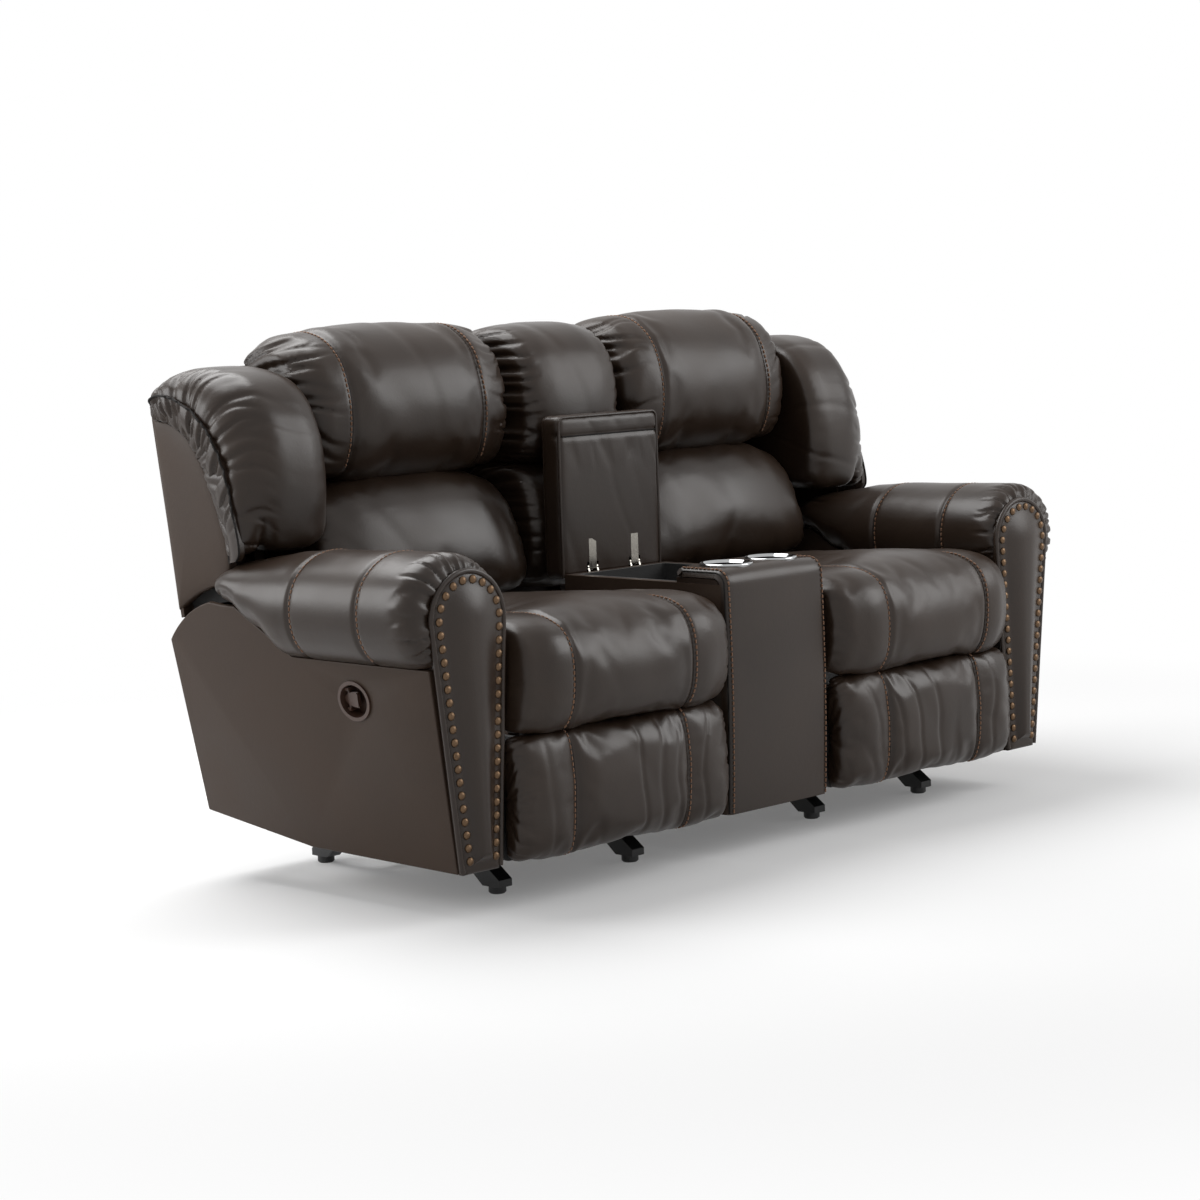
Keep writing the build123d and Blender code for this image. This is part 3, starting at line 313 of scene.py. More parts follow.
# Camera and light
cameraFit = {
    "place": (-4.3161, -3.7871 + armFront, 1.1489), "target": (0.0, 0.4888 + armFront, 0.4746), "roll": -1.89,
    "focalPixels": 2891.9, "picturePixels": 1200, "sensor": 36.0,
}
lamps = {
    "overhead": {"place": (-0.5, 1.3, 3.2), "size": 2.6, "power": 100.0},
    "frontRight": {"place": (3.2, -3.2, 2.7), "size": 3.2, "power": 118.0},
    "rearLeft": {"place": (-3.4, 2.8, 1.9), "size": 2.4, "power": 86.0},
}
lampTarget = Vector((0, 0, 0.4))
stage = {"size": 40, "worldLight": 0.35, "floorTone": 0.9, "fadeFrom": 1.45, "fadeTo": 2.9, "whiteShare": 0.15}


def makeCamera():
    cameraData = bpy.data.cameras.new("photoCamera")
    camera = bpy.data.objects.new("photoCamera", cameraData)
    scene.collection.objects.link(camera)
    place = Vector(cameraFit["place"])
    ahead = (Vector(cameraFit["target"]) - place).normalized()
    right = ahead.cross(Vector((0, 0, 1))).normalized()
    up = right.cross(ahead)
    turn = math.radians(cameraFit["roll"])
    rightRolled = right * math.cos(turn) + up * math.sin(turn)
    upRolled = up * math.cos(turn) - right * math.sin(turn)
    matrix = Matrix((rightRolled, upRolled, -ahead)).transposed().to_4x4()
    matrix.translation = place
    camera.matrix_world = matrix
    cameraData.sensor_width = cameraFit["sensor"]
    cameraData.lens = cameraFit["sensor"] * cameraFit["focalPixels"] / cameraFit["picturePixels"]
    scene.camera = camera


def makeLamps():
    for name, lamp in lamps.items():
        data = bpy.data.lights.new(name, "AREA")
        data.energy = lamp["power"]
        data.shape = "DISK"
        data.size = lamp["size"]
        light = bpy.data.objects.new(name, data)
        light.location = lamp["place"]
        light.rotation_euler = (lampTarget - Vector(lamp["place"])).to_track_quat("-Z", "Y").to_euler()
        scene.collection.objects.link(light)


def seenRays(tree):  # 1 for what the camera sees, straight or in metal and glass
    path = addNode(tree, "LightPath").outputs
    seen = path["Is Camera Ray"]
    for ray in ("Is Glossy Ray", "Is Transmission Ray"):
        seen = addNode(tree, "Math", {"operation": "MAXIMUM"}, {0: seen, 1: path[ray]}).outputs["Value"]
    return seen


def makeStage():
    world = bpy.data.worlds.new("studio")
    scene.world = world
    world.use_nodes = True
    tree = world.node_tree
    background = tree.nodes["Background"]
    levels = {"To Min": stage["worldLight"], "To Max": 1.0}
    strength = addNode(tree, "MapRange", levels, {"Value": seenRays(tree)})
    background.inputs["Color"].default_value = (1, 1, 1, 1)
    wire(tree, background, {"Strength": strength.outputs["Result"]})
    floor = basicForm("studioFloor", bpy.ops.mesh.primitive_plane_add, size=stage["size"])
    tone = stage["floorTone"]
    plain = {"Base Color": (tone, tone, tone, 1), "Roughness": 0.8, "Specular IOR Level": 0.1}
    material, tree, shader, place = newMaterial("paleFloor", plain)
    away = addNode(tree, "VectorMath", {"operation": "LENGTH"}, {0: place})
    whitening = {"From Min": stage["fadeFrom"], "From Max": stage["fadeTo"], "To Min": stage["whiteShare"],
                 "To Max": 1.0, "interpolation_type": "SMOOTHSTEP"}
    fade = addNode(tree, "MapRange", whitening, {"Value": away.outputs["Value"]}).outputs["Result"]
    share = addNode(tree, "Math", {"operation": "MULTIPLY"}, {0: fade, 1: seenRays(tree)})
    glow = addNode(tree, "Emission", {"Strength": 1.0})
    mix = addNode(tree, "MixShader", {},
                  {0: share.outputs["Value"], 1: shader.outputs["BSDF"], 2: glow.outputs["Emission"]})
    wire(tree, tree.nodes["Material Output"], {"Surface": mix.outputs["Shader"]})
    floor.data.materials.append(material)


scene.view_settings.view_transform = "Standard"
makeCamera()
makeLamps()
makeStage()
print("stage: camera and light")


# Soft goods
def runLength(points):  # distance along a line of points
    return np.concatenate(([0], np.cumsum(np.linalg.norm(np.diff(points, axis=0), axis=1))))


def smoothLine(points, count, closed=True):  # smooth curve through profile points, evenly spaced
    p = np.array(points, float)
    n = len(p)
    fine = []
    for i in range(n if closed else n - 1):
        a, b, c, d = (p[(i + k) % n] if closed else p[min(max(i + k, 0), n - 1)] for k in (-1, 0, 1, 2))
        for t in np.linspace(0, 1, 24, endpoint=False):
            square, cube = 2 * a - 5 * b + 4 * c - d, 3 * b - a - 3 * c + d
            fine.append(0.5 * (2 * b + (c - a) * t + square * t * t + cube * t ** 3))
    fine = np.array(fine + [fine[0] if closed else p[-1]])
    steps = runLength(fine)
    spots = np.linspace(0, steps[-1], count, endpoint=not closed)
    return np.column_stack([np.interp(spots, steps, fine[:, k]) for k in range(2)])


def loftForm(name, rings):  # closed form through rings of equal count
    count = len(rings[0])
    faces = []
    for i in range(len(rings) - 1):
        for j in range(count):
            k = (j + 1) % count
            faces.append((i * count + j, i * count + k, (i + 1) * count + k, (i + 1) * count + j))
    last = (len(rings) - 1) * count
    faces += [tuple(range(count - 1, -1, -1)), tuple(range(last, last + count))]
    piece = meshPiece(name, np.concatenate(rings), faces)
    outwards(piece)
    return piece


def ringAtX(x, outline):  # an outline in (y, z) as a ring of points
    return np.column_stack([np.full(len(outline), x), outline])


def eased(x, xs, ys):  # smooth interpolation through stations
    i = int(np.clip(np.searchsorted(xs, x) - 1, 0, len(xs) - 2))
    t = (x - xs[i]) / (xs[i + 1] - xs[i])
    t = t * t * (3 - 2 * t)
    return ys[i] + (ys[i + 1] - ys[i]) * t


inflation = {
    "quality": 4, "mass": 0.3, "tension_stiffness": 15, "compression_stiffness": 15, "shear_stiffness": 5,
    "bending_stiffness": 0.5, "use_pressure": True, "uniform_pressure_force": 4, "vertex_group_mass": "sewn",
}
inflationFrames = 20


def puff(piece, pad, held):
    # Voxel remesh, then inflate as cloth with the sewn places held
    applyModifier(piece, "REMESH", {"mode": "VOXEL", "voxel_size": pad["voxel"]})
    rest = readPoints(piece)
    sewn = piece.vertex_groups.new(name="sewn")
    sewn.add([int(i) for i in np.nonzero(held(rest))[0]], 1.0, "REPLACE")
    cloth = piece.modifiers.new("cloth", "CLOTH")
    for key, value in inflation.items():
        setattr(cloth.settings, key, value)
    cloth.settings.shrink_min = -pad["ease"]  # spare leather that gathers
    cloth.settings.effector_weights.gravity = 0
    cloth.collision_settings.use_collision = False
    cloth.point_cache.frame_start, cloth.point_cache.frame_end = 1, inflationFrames
    for step in range(1, inflationFrames + 1):
        scene.frame_set(step)
    swollen = bpy.data.meshes.new_from_object(piece.evaluated_get(bpy.context.evaluated_depsgraph_get()))
    shift = readVectors(swollen, "co") - rest
    bpy.data.meshes.remove(swollen)
    piece.modifiers.clear()
    piece.vertex_groups.clear()
    scene.frame_set(1)
    length = np.linalg.norm(shift, axis=1)
    writePoints(piece, rest + shift * np.minimum(1, pad["cap"] / np.maximum(length, 1e-9))[:, None])
    applyModifier(piece, "SMOOTH", {"factor": 0.5, "iterations": pad["calm"]})
    applyModifier(piece, "SUBSURF", {"levels": 1, "render_levels": 1})


def press(piece, depth):  # move the surface along its normals
    writePoints(piece, readPoints(piece) + readVectors(piece.data, "normal") * depth[:, None])


def noiseField(u, v, seed):
    return np.array([noise.noise(Vector((a, b, seed))) for a, b in zip(u, v)])


creaseForm = {
    "length": 5, "valley": 0.11, "rise": 0.35, "wander": 0.8, "bend": 2.5, "drift": 9, "wanderSeed": 7.3,
}


def creases(across, along, spacing, seed):  # sharp valleys, round ridges, wandering a little
    bend, drift = along / (spacing * creaseForm["bend"]), across / (spacing * creaseForm["drift"])
    wander = noiseField(bend, drift, seed + creaseForm["wanderSeed"]) * creaseForm["wander"]
    field = noiseField(across / spacing + wander, along / (spacing * creaseForm["length"]), seed)
    return np.exp(-(field / creaseForm["valley"]) ** 2) - creaseForm["rise"]


def creaseLayer(layer, across, along, seed):  # creases pressed in, from their (depth, spacing)
    depth, spacing = layer
    return -depth * creases(across, along, spacing, seed)


def smoothStep(low, high, value):
    t = np.clip((value - low) / (high - low), 0, 1)
    return t * t * (3 - 2 * t)


groove = {"depth": 0.0045, "width": 0.0055}


def grooves(points, axis, spots):  # hollows along the seams
    total = np.zeros(len(points))
    for spot in spots:
        total -= groove["depth"] * np.exp(-((points[:, axis] - spot) / groove["width"]) ** 2)
    return total


def sectionLine(piece, axis, spot):  # points and normals where a plane cuts the surface, in order
    form = bmesh.new()
    form.from_mesh(piece.data)
    across = Vector((0, 0, 0))
    across[axis] = 1
    whole = form.verts[:] + form.edges[:] + form.faces[:]
    cut = bmesh.ops.bisect_plane(form, geom=whole, plane_co=across * spot, plane_no=across)
    form.edges.index_update()
    edges = {e for e in cut["geom_cut"] if isinstance(e, bmesh.types.BMEdge)}
    loops = []
    while edges:
        edge = min(edges, key=lambda e: e.index)  # so that every run starts at the same place
        edges.discard(edge)
        chain = [edge.verts[0], edge.verts[1]]
        for end in (-1, 0):
            while True:
                follow = next((e for e in chain[end].link_edges if e in edges), None)
                if follow is None:
                    break
                edges.discard(follow)
                chain.insert(len(chain) if end else 0, follow.other_vert(chain[end]))
        loops.append(chain)
    loop = max(loops, key=len)
    points, normals = np.array([v.co for v in loop]), np.array([v.normal for v in loop])
    form.free()
    return points, normals


stitch = {"length": 0.0072, "pitch": 0.0108, "thick": 0.0018, "bevel": 0.0005, "beside": 0.0065, "cord": 0.0016}


def keptRuns(line, keep):  # stretches of a section line that show
    points, normals = line
    shown = np.array([keep(p, n) for p, n in zip(points, normals)])
    if shown.all():
        return [(points, normals)]
    runs, run = [], []
    for i in np.roll(np.arange(len(points)), -int(np.argmin(shown))):
        if shown[i]:
            run.append(i)
        elif run:
            runs.append(run)
            run = []
    if run:
        runs.append(run)
    return [(points[r], normals[r]) for r in runs if len(r) > 4]


def stitchPlaces(run):  # place, direction and normal of each stitch along a run
    points, normals = run
    steps, pitch, lookAhead = runLength(points), stitch["pitch"], 0.003
    rows = []
    for spot in np.arange(pitch / 2, steps[-1] - pitch / 2, pitch):
        at, ahead, normal = (Vector([np.interp(where, steps, values[:, k]) for k in range(3)])
                             for where, values in ((spot, points), (spot + lookAhead, points), (spot, normals)))
        rows.append((at, ahead - at, normal))
    return rows


def sewRows(name, rows, body="rocking_frame"):  # one stitch modelled once, copied along the rows
    rod = {"vertices": 6, "radius": stitch["thick"], "depth": stitch["length"]}
    model = basicForm("stitch", bpy.ops.mesh.primitive_cylinder_add, **rod)
    editMesh(model, (bpy.ops.mesh.bevel, {"offset": stitch["bevel"], "segments": 1}))
    shape, polygons = takeShape(model)
    copies = []
    for place, along, normal in rows:
        along = along.normalized()
        side = along.cross(normal).normalized()
        up = side.cross(along)
        copies.append(shape @ np.array([side, up, along]) + np.array(place + up * stitch["thick"] * 0.3))
    finishPiece(joinCopies(name, polygons, copies), thread, body)


def cordAlong(name, paths, radius, material, body="rocking_frame", corners=6):  # round cord along open paths
    curve = bpy.data.curves.new(name, "CURVE")
    curve.dimensions = "3D"
    curve.bevel_depth = radius
    curve.bevel_resolution = max(0, corners // 2 - 2)
    curve.use_fill_caps = True
    for path in paths:
        line = curve.splines.new("POLY")
        line.points.add(len(path) - 1)
        line.points.foreach_set("co", np.column_stack([path, np.ones(len(path))]).ravel())
    holder = bpy.data.objects.new(name, curve)
    scene.collection.objects.link(holder)
    activate(holder)
    bpy.ops.object.convert(target="MESH")
    piece = bpy.context.object
    outwards(piece)
    finishPiece(piece, material, body, angle=60)


def sewSeam(label, piece, axis, seam, outwardSign, keep, body="rocking_frame"):
    # A near-black cord in the groove of the seam, painted shade for the groove, and a row of stitches beside it
    runs = keptRuns(sectionLine(piece, axis, seam), keep)
    cords = [points - normals * stitch["cord"] * 0.5 for points, normals in runs]
    rows = []
    for run in keptRuns(sectionLine(piece, axis, seam + outwardSign * stitch["beside"]), keep):
        rows += stitchPlaces(run)
    sewRows(f"{label}Stitches", rows, body)
    cordAlong(f"{label}SeamShadeCord", cords, stitch["cord"], seamShadeLeather, body)


def finishPad(piece, body, node, angle=180):
    finishPiece(piece, leather, body, node, angle=angle)


def mm(*pairs):  # profile written in millimetres behind the arm fronts and above the floor
    return [(armFront + y / 1000, z / 1000) for y, z in pairs]


def pastBoard(p, y, z):  # behind the leaning back board, which goes through this point behind the arm fronts
    return p[:, 1] > armFront + y + (p[:, 2] - z) * backRake


seatX = 0.4585
backRake = 0.167  # lean of the back boards, y for each unit of z
seat = {
    "profile": mm((-22, 324), (-49, 362), (-57, 428), (-49, 486), (-18, 522), (45, 537), (150, 533),
                  (260, 525), (380, 516), (470, 507), (508, 488), (514, 440), (510, 394), (300, 391),
                  (60, 391), (26, 374), (8, 325)),
    "base": mm((255, 420))[0],
    "stations": [(seatX - 0.297, 0.13, 0.15), (seatX - 0.27, 0.045, 0.045), (seatX - 0.2, 0.0, 0.0),
                 (seatX + 0.2, 0.0, 0.0), (seatX + 0.262, 0.06, 0.05), (seatX + 0.29, 0.2, 0.18)],
    "seams": (seatX - 0.16, seatX + 0.16), "voxel": 0.009, "cap": 0.02, "ease": 0.015, "calm": 6,
    "gather": (0.004, 0.035), "reach": 0.06,
    "armLine": ((0.088, 0.7605), (0.550, 0.7322)), "armGive": 0.03,  # (height, half width) that the arms leave
    "rests": lambda p: (p[:, 2] < 0.398) & (p[:, 1] > armFront + 0.03),
    "keep": lambda at, n: n[1] < 0.35 and n[2] > -0.75 and at[1] < armFront + 0.46,
}
footrest = {
    "profile": mm((20, 96), (20, 200), (20, 318), (-2, 327), (-27, 311), (-39, 240), (-40, 190), (-36, 135),
                  (-23, 96), (-2, 88)),
    "base": mm((18, 200))[0],
    "stations": [(seatX - 0.286, 0.3, 0.1), (seatX - 0.262, 0.08, 0.03), (seatX - 0.2, 0.0, 0.0),
                 (seatX + 0.2, 0.0, 0.0), (seatX + 0.262, 0.08, 0.03), (seatX + 0.286, 0.3, 0.1)],
    "seams": (seatX - 0.15, seatX + 0.15), "voxel": 0.008, "cap": 0.016, "ease": 0.03, "calm": 5,
    "gather": (0.004, 0.03), "reach": 0.06, "folds": (0.0026, 0.075),
    "rests": lambda p: p[:, 1] > armFront + 0.014,
    "keep": lambda at, n: n[1] < 0.25,
}
backX = (0.174, 0.712)
lumbar = {
    "profile": mm((518, 512), (600, 508), (698, 508), (718, 620), (738, 758), (650, 773), (590, 766),
                  (548, 726), (517, 655), (497, 585), (498, 540)),
    "base": mm((715, 560))[0],
    "stations": [(backX[0], 0.12, 0.26), (backX[0] + 0.04, 0.05, 0.12), (backX[0] + 0.11, 0.01, 0.03),
                 (backX[0] + 0.2, 0.0, 0.0), (backX[1] - 0.2, 0.0, 0.0), (backX[1] - 0.11, 0.01, 0.03),
                 (backX[1] - 0.04, 0.05, 0.12), (backX[1], 0.12, 0.26)],
    "seams": (), "voxel": 0.010, "cap": 0.02, "ease": 0.01, "calm": 8, "gather": (0.003, 0.045), "reach": 0.07,
    "rests": lambda p: pastBoard(p, 0.69, 0.51),
}
head = {
    "profile": mm((575, 776), (650, 768), (742, 768), (764, 900), (778, 1000), (757, 1050), (698, 1069),
                  (625, 1060), (567, 1016), (540, 950), (533, 885), (545, 820)),
    "base": mm((752, 900))[0],
    "stations": [(backX[0], 0.18, 0.18), (backX[0] + 0.035, 0.06, 0.06), (backX[0] + 0.1, 0.0, 0.0),
                 (backX[1] - 0.14, 0.0, 0.0), (backX[1] - 0.05, 0.07, 0.07), (backX[1], 0.24, 0.24)],
    "seams": (0.443 - 0.172, 0.443 + 0.172), "voxel": 0.010, "cap": 0.022, "ease": 0.015, "calm": 6,
    "gather": (0.008, 0.03), "reach": 0.11,
    "rests": lambda p: pastBoard(p, 0.73, 0.77) & (p[:, 2] < 1.0),
    "keep": lambda at, n: n[1] < 0.6 and n[2] > -0.7,
}
centre = {
    "stations": [(-0.139, 0.12, 0.1), (-0.112, 0.03, 0.03), (-0.06, 0.0, 0.0), (0.06, 0.0, 0.0),
                 (0.112, 0.03, 0.03), (0.139, 0.12, 0.1)],
    "seams": (), "voxel": 0.009, "ease": 0.01, "calm": 6,
}
centreHead = {
    **centre, "cap": 0.014, "gather": (0.006, 0.028), "reach": 0.06,
    "rests": head["rests"], "base": mm((752, 900))[0],
    "profile": mm((552, 778), (640, 766), (742, 766), (764, 900), (778, 1000), (755, 1042), (690, 1058),
                  (615, 1050), (560, 1010), (535, 950), (528, 880), (532, 820)),
}
centreLumbar = {
    **centre, "cap": 0.01, "gather": (0.004, 0.03), "reach": 0.06,
    "rests": lumbar["rests"], "base": mm((715, 640))[0],
    "profile": mm((548, 518), (620, 511), (698, 510), (718, 620), (738, 760), (640, 772), (588, 766),
                  (545, 724), (526, 650), (528, 580)),
}
padFinish = {  # what all the pads share
    "heldEnd": 0.01, "heldSeam": 0.75, "girth": (0.08, 0.3), "endRoom": 0.012, "wrinkles": (0.0014, 0.19),
    "wrinkleSlant": 0.5, "foldSlant": 0.12, "foldMiddle": 0.2, "foldPlane": 0.01, "foldFade": (0.02, 0.06),
}


def padForm(name, pad):  # profile in (y, z), drawn in towards its base at the stations along x
    profile = smoothLine(pad["profile"], 96)
    base = np.array(pad["base"])
    xs, shrinkYs, shrinkZs = zip(*pad["stations"])
    rings = []
    for x in np.linspace(xs[0], xs[-1], 48):
        rings.append(ringAtX(x, base + (profile - base) * (1 - eased(x, xs, shrinkYs), 1 - eased(x, xs, shrinkZs))))
    return loftForm(name, rings)


def puffedPad(name, pad):
    piece = padForm(name, pad)
    xs, end = [station[0] for station in pad["stations"]], padFinish["heldEnd"]

    def held(p):
        sewn = (p[:, 0] < xs[0] + end) | (p[:, 0] > xs[-1] - end) | pad["rests"](p)
        for seam in pad["seams"]:
            sewn |= np.abs(p[:, 0] - seam) < pad["voxel"] * padFinish["heldSeam"]
        return sewn

    puff(piece, pad, held)
    return piece


def dressPad(piece, pad, s, seed):  # seam grooves, gathered ends and soft folds, different on each side
    points = readPoints(piece)
    x, y, z = points.T
    xs = sorted(s * station[0] for station in pad["stations"])
    baseY, baseZ = pad["base"]
    girth = np.arctan2(z - baseZ, baseY - y) * np.hypot(y - baseY, z - baseZ).clip(*padFinish["girth"])
    inset = np.minimum(x - xs[0], xs[-1] - x) + padFinish["endRoom"]
    shape = creaseLayer(pad["gather"], girth, x, seed) * (1 - smoothStep(0.0, pad["reach"], inset))
    if "folds" in pad:  # on the front only
        slanted = x + padFinish["foldSlant"] * (z - padFinish["foldMiddle"])
        ahead = smoothStep(*padFinish["foldFade"], armFront + padFinish["foldPlane"] - y)
        shape += creaseLayer(pad["folds"], slanted, z, seed + 3) * ahead
    shape += creaseLayer(padFinish["wrinkles"], x + padFinish["wrinkleSlant"] * z, girth, seed + 5)
    shape += grooves(points, 0, [s * seam for seam in pad["seams"]])
    press(piece, shape)
    if "armLine" in pad:  # the side presses against the arm
        points = readPoints(piece)
        (lowZ, lowX), (highZ, highX) = pad["armLine"]
        give = pad["armGive"]
        free = lowX + (highX - lowX) * (points[:, 2] - lowZ) / (highZ - lowZ) - give
        over = np.maximum(s * points[:, 0] - free, 0)
        points[:, 0] += s * (give * (1 - np.exp(-over / give)) - over)
        writePoints(piece, points)


def pairOfPads(label, pad, body, node):
    for side, s, piece in bothSides(puffedPad(f"right{label}", pad), label):
        dressPad(piece, pad, s, 11.0 + 5 * s)
        finishPad(piece, f"{side}_{body}", f"{side}_{node}")
        for seam, outer, end in zip(pad["seams"], (-1, 1), ("Inner", "Outer")):
            sewSeam(f"{side}{label}{end}", piece, 0, s * seam, s * outer, pad["keep"], f"{side}_{body}")


pairOfPads("SeatCushion", seat, "seat", "seat_cushion")
pairOfPads("FootrestCushion", footrest, "footrest", "footrest_cushion")
pairOfPads("LumbarCushion", lumbar, "back", "lumbar_cushion")
pairOfPads("HeadPillow", head, "back", "head_pillow")
print("stage: paired cushions")
for part, pad, seed in (("Head", centreHead, 2.0), ("Lumbar", centreLumbar, 4.0)):
    piece = puffedPad(f"centre{part}Cushion", pad)
    dressPad(piece, pad, 1, seed)
    finishPad(piece, "rocking_frame", f"centre_{part.lower()}")
print("stage: centre back")

# Rolled arms
roll = {
    "centreX": 0.849, "archX": 0.828, "archZ": 0.550, "hubZ": 0.57, "footZ": 0.470, "height": 0.202, "girth": 0.11,
    "section": [(-0.078, 0.472), (0.0, 0.469), (0.066, 0.4665), (0.106, 0.507), (0.117, 0.566), (0.100, 0.622),
                (0.055, 0.660), (0.0, 0.672), (-0.055, 0.660), (-0.100, 0.622), (-0.117, 0.566), (-0.108, 0.512)],
    # mm behind the arm fronts, then how far the end draws in, the top drops and the foot lifts
    "stations": [(6, 0.22, 0.0, 0.0), (12, 0.12, 0.0, 0.0), (24, 0.04, 0.0, 0.0), (48, 0.0, 0.0, 0.0),
                 (330, 0.0, 0.006, 0.0), (400, 0.0, 0.013, 0.0), (480, 0.015, 0.024, 0.0456),
                 (555, 0.05, 0.034, 0.089), (582, 0.14, 0.042, 0.09), (594, 0.32, 0.05, 0.09)],
    "seams": (armFront + 0.155, armFront + 0.345), "voxel": 0.009, "cap": 0.01, "ease": 0.0, "calm": 6,
    "frontCreases": (0.0065, 0.021), "rearCreases": (0.005, 0.04), "wrinkles": (0.001, 0.13),
    "frontFade": (0.012, 0.075), "frontRise": (0.455, 0.52), "rearFade": (0.48, 0.585),  # where creases come in
    "frontRings": (6, 60, 10), "rearRings": (72, 594, 42), "archEnds": (12, 60), "hubDrop": 0.01,
    "wrinkleTurn": 0.02, "held": (0.014, 0.586), "heldFoot": 0.478, "footFrom": 0.4, "footSlope": 0.19,
    "heldSeam": 0.007,
}


def rollForm(name):
    profile = smoothLine(roll["section"], 96)
    ds, *changes = zip(*roll["stations"])
    rings = []
    for d in np.concatenate([np.linspace(*roll["frontRings"]), np.linspace(*roll["rearRings"])]):
        shrink, drop, lift = (eased(d, ds, change) for change in changes)
        share = (profile[:, 1] - roll["footZ"]) / roll["height"]
        z = profile[:, 1] - drop * share + lift * (1 - share)
        x = profile[:, 0] + roll["centreX"]
        front = 1 - smoothStep(*roll["archEnds"], d)
        hubX = roll["centreX"] * (1 - front) + roll["archX"] * front
        hubZ = (roll["archZ"] - roll["hubDrop"]) * front + (roll["hubZ"] + lift * 0.5 - drop * 0.5) * (1 - front)
        x = hubX + (x - hubX) * (1 - shrink)
        z = hubZ + (z - hubZ) * (1 - shrink)
        rings.append(np.column_stack([x, np.full(len(x), armFront + d / 1000), z]))
    return loftForm(name, rings)


def rollHeld(p):  # both ends, the foot and the seams
    d = p[:, 1] - armFront
    front, rear = roll["held"]
    held = (p[:, 1] < armFront + front) | (p[:, 1] > armFront + rear)
    held |= p[:, 2] < roll["heldFoot"] + roll["footSlope"] * np.clip(d - roll["footFrom"], 0, 1)
    for seam in roll["seams"]:
        held |= np.abs(p[:, 1] - seam) < roll["heldSeam"]
    return held


def dressRoll(piece, s, seed):  # gathers round the front arch and at the rear, grooves at the seams
    points = readPoints(piece)
    turn = np.arctan2(s * points[:, 0] - roll["archX"], points[:, 2] - roll["archZ"])
    d = points[:, 1] - armFront
    arch = turn * roll["girth"]
    frontOnly = (1 - smoothStep(*roll["frontFade"], d)) * smoothStep(*roll["frontRise"], points[:, 2])
    shape = creaseLayer(roll["frontCreases"], arch, d, seed) * frontOnly
    shape += creaseLayer(roll["rearCreases"], arch, d, seed + 2) * smoothStep(*roll["rearFade"], d)
    shape += creaseLayer(roll["wrinkles"], d + turn * roll["wrinkleTurn"], arch, seed + 4)
    press(piece, shape + grooves(points, 1, roll["seams"]))


rightRoll = rollForm("rightArmRoll")
puff(rightRoll, roll, rollHeld)
for side, s, piece in bothSides(rightRoll, "ArmRoll"):
    dressRoll(piece, s, 30.0 + 3 * s)
    finishPad(piece, "rocking_frame", f"{side}_arm_roll")
    for seam, label in zip(roll["seams"], ("Front", "Rear")):
        sewSeam(f"{side}ArmRoll{label}", piece, 1, seam, -1, lambda at, n: n[2] > -0.75)
print("stage: arm rolls")

# Wings
wing = {
    "innerFront": mm((700, 662), (600, 655), (512, 656), (495, 706), (491, 780), (497, 850), (519, 915),
                     (560, 966), (612, 992), (682, 1003), (750, 996), (790, 966)),
    "innerRear": mm((790, 960), (766, 860), (742, 760), (702, 664)),
    "outerFront": mm((578, 646), (545, 645), (512, 656), (502, 706), (499, 780), (504, 846), (525, 908),
                     (564, 960), (614, 988), (682, 1001), (748, 996), (809, 968)),
    "piping": mm((532, 640), (522, 656), (526, 690), (540, 741), (554, 799), (592, 870), (645, 919),
                 (700, 944), (748, 953), (778, 945), (797, 924)),
    "panelEdge": mm((578, 632), (584, 672), (599, 716), (620, 766), (642, 809), (667, 846), (699, 876),
                    (747, 898), (801, 905)),
    "middle": mm((640, 835))[0], "creaseHub": mm((690, 800))[0], "girth": 0.2,
    "inX": 0.718, "flatX": 0.838, "roundX": 0.84, "outX": 0.924, "heldX": (0.727, 0.918),
    "blendX": (0.86, 0.89), "creaseX": (0.84, 0.915), "roundShare": 0.98, "rearInset": 0.004,
    "tuckX": (0.718, 0.738, 0.77, 0.94), "tuck": (0.12, 0.04, 0.0, 0.0),
    "voxel": 0.008, "cap": 0.012, "ease": 0.005, "calm": 6, "creases": (0.0045, 0.034), "wrinkles": (0.0015, 0.1),
}


def wingForm(name):  # lofted from the inside outwards, the front drawn back to the piping line
    fronts = ("innerFront", "outerFront", "piping")
    innerFront, outerFront, piping = (smoothLine(wing[key], 72, False) for key in fronts)
    innerRear, panelEdge = (smoothLine(wing[key], 40, False) for key in ("innerRear", "panelEdge"))
    middle = np.array(wing["middle"])
    rings = []
    flat, rounded = np.linspace(wing["inX"], wing["flatX"], 20), np.linspace(wing["roundX"], wing["outX"], 26)
    for x in np.concatenate([flat, rounded]):
        blend = float(smoothStep(*wing["blendX"], np.array(x)))
        front = innerFront * (1 - blend) + outerFront * blend
        rear = innerRear * (1 - blend) + (panelEdge[::-1] - (wing["rearInset"], 0)) * blend
        turn = np.clip((x - wing["roundX"]) / (wing["outX"] - wing["roundX"]), 0, 1)
        front = piping + (front - piping) * math.sqrt(1 - wing["roundShare"] * turn ** 2)
        loop = np.concatenate([front, rear[1:-1]])
        rings.append(ringAtX(x, middle + (loop - middle) * (1 - eased(x, wing["tuckX"], wing["tuck"]))))
    return loftForm(name, rings)


def wingHeld(p):
    nearX, farX = wing["heldX"]
    return (p[:, 0] < nearX) | (p[:, 0] > farX) | pastBoard(p, 0.735, 0.77)


def dressWing(piece, s, seed):  # creases running away from the piping, softer towards the inside
    points = readPoints(piece)
    hubY, hubZ = wing["creaseHub"]
    arch = np.arctan2(points[:, 2] - hubZ, hubY - points[:, 1]) * wing["girth"]
    x = s * points[:, 0]
    shape = creaseLayer(wing["creases"], arch, x, seed) * smoothStep(*wing["creaseX"], x)
    press(piece, shape + creaseLayer(wing["wrinkles"], arch, x, seed + 4))


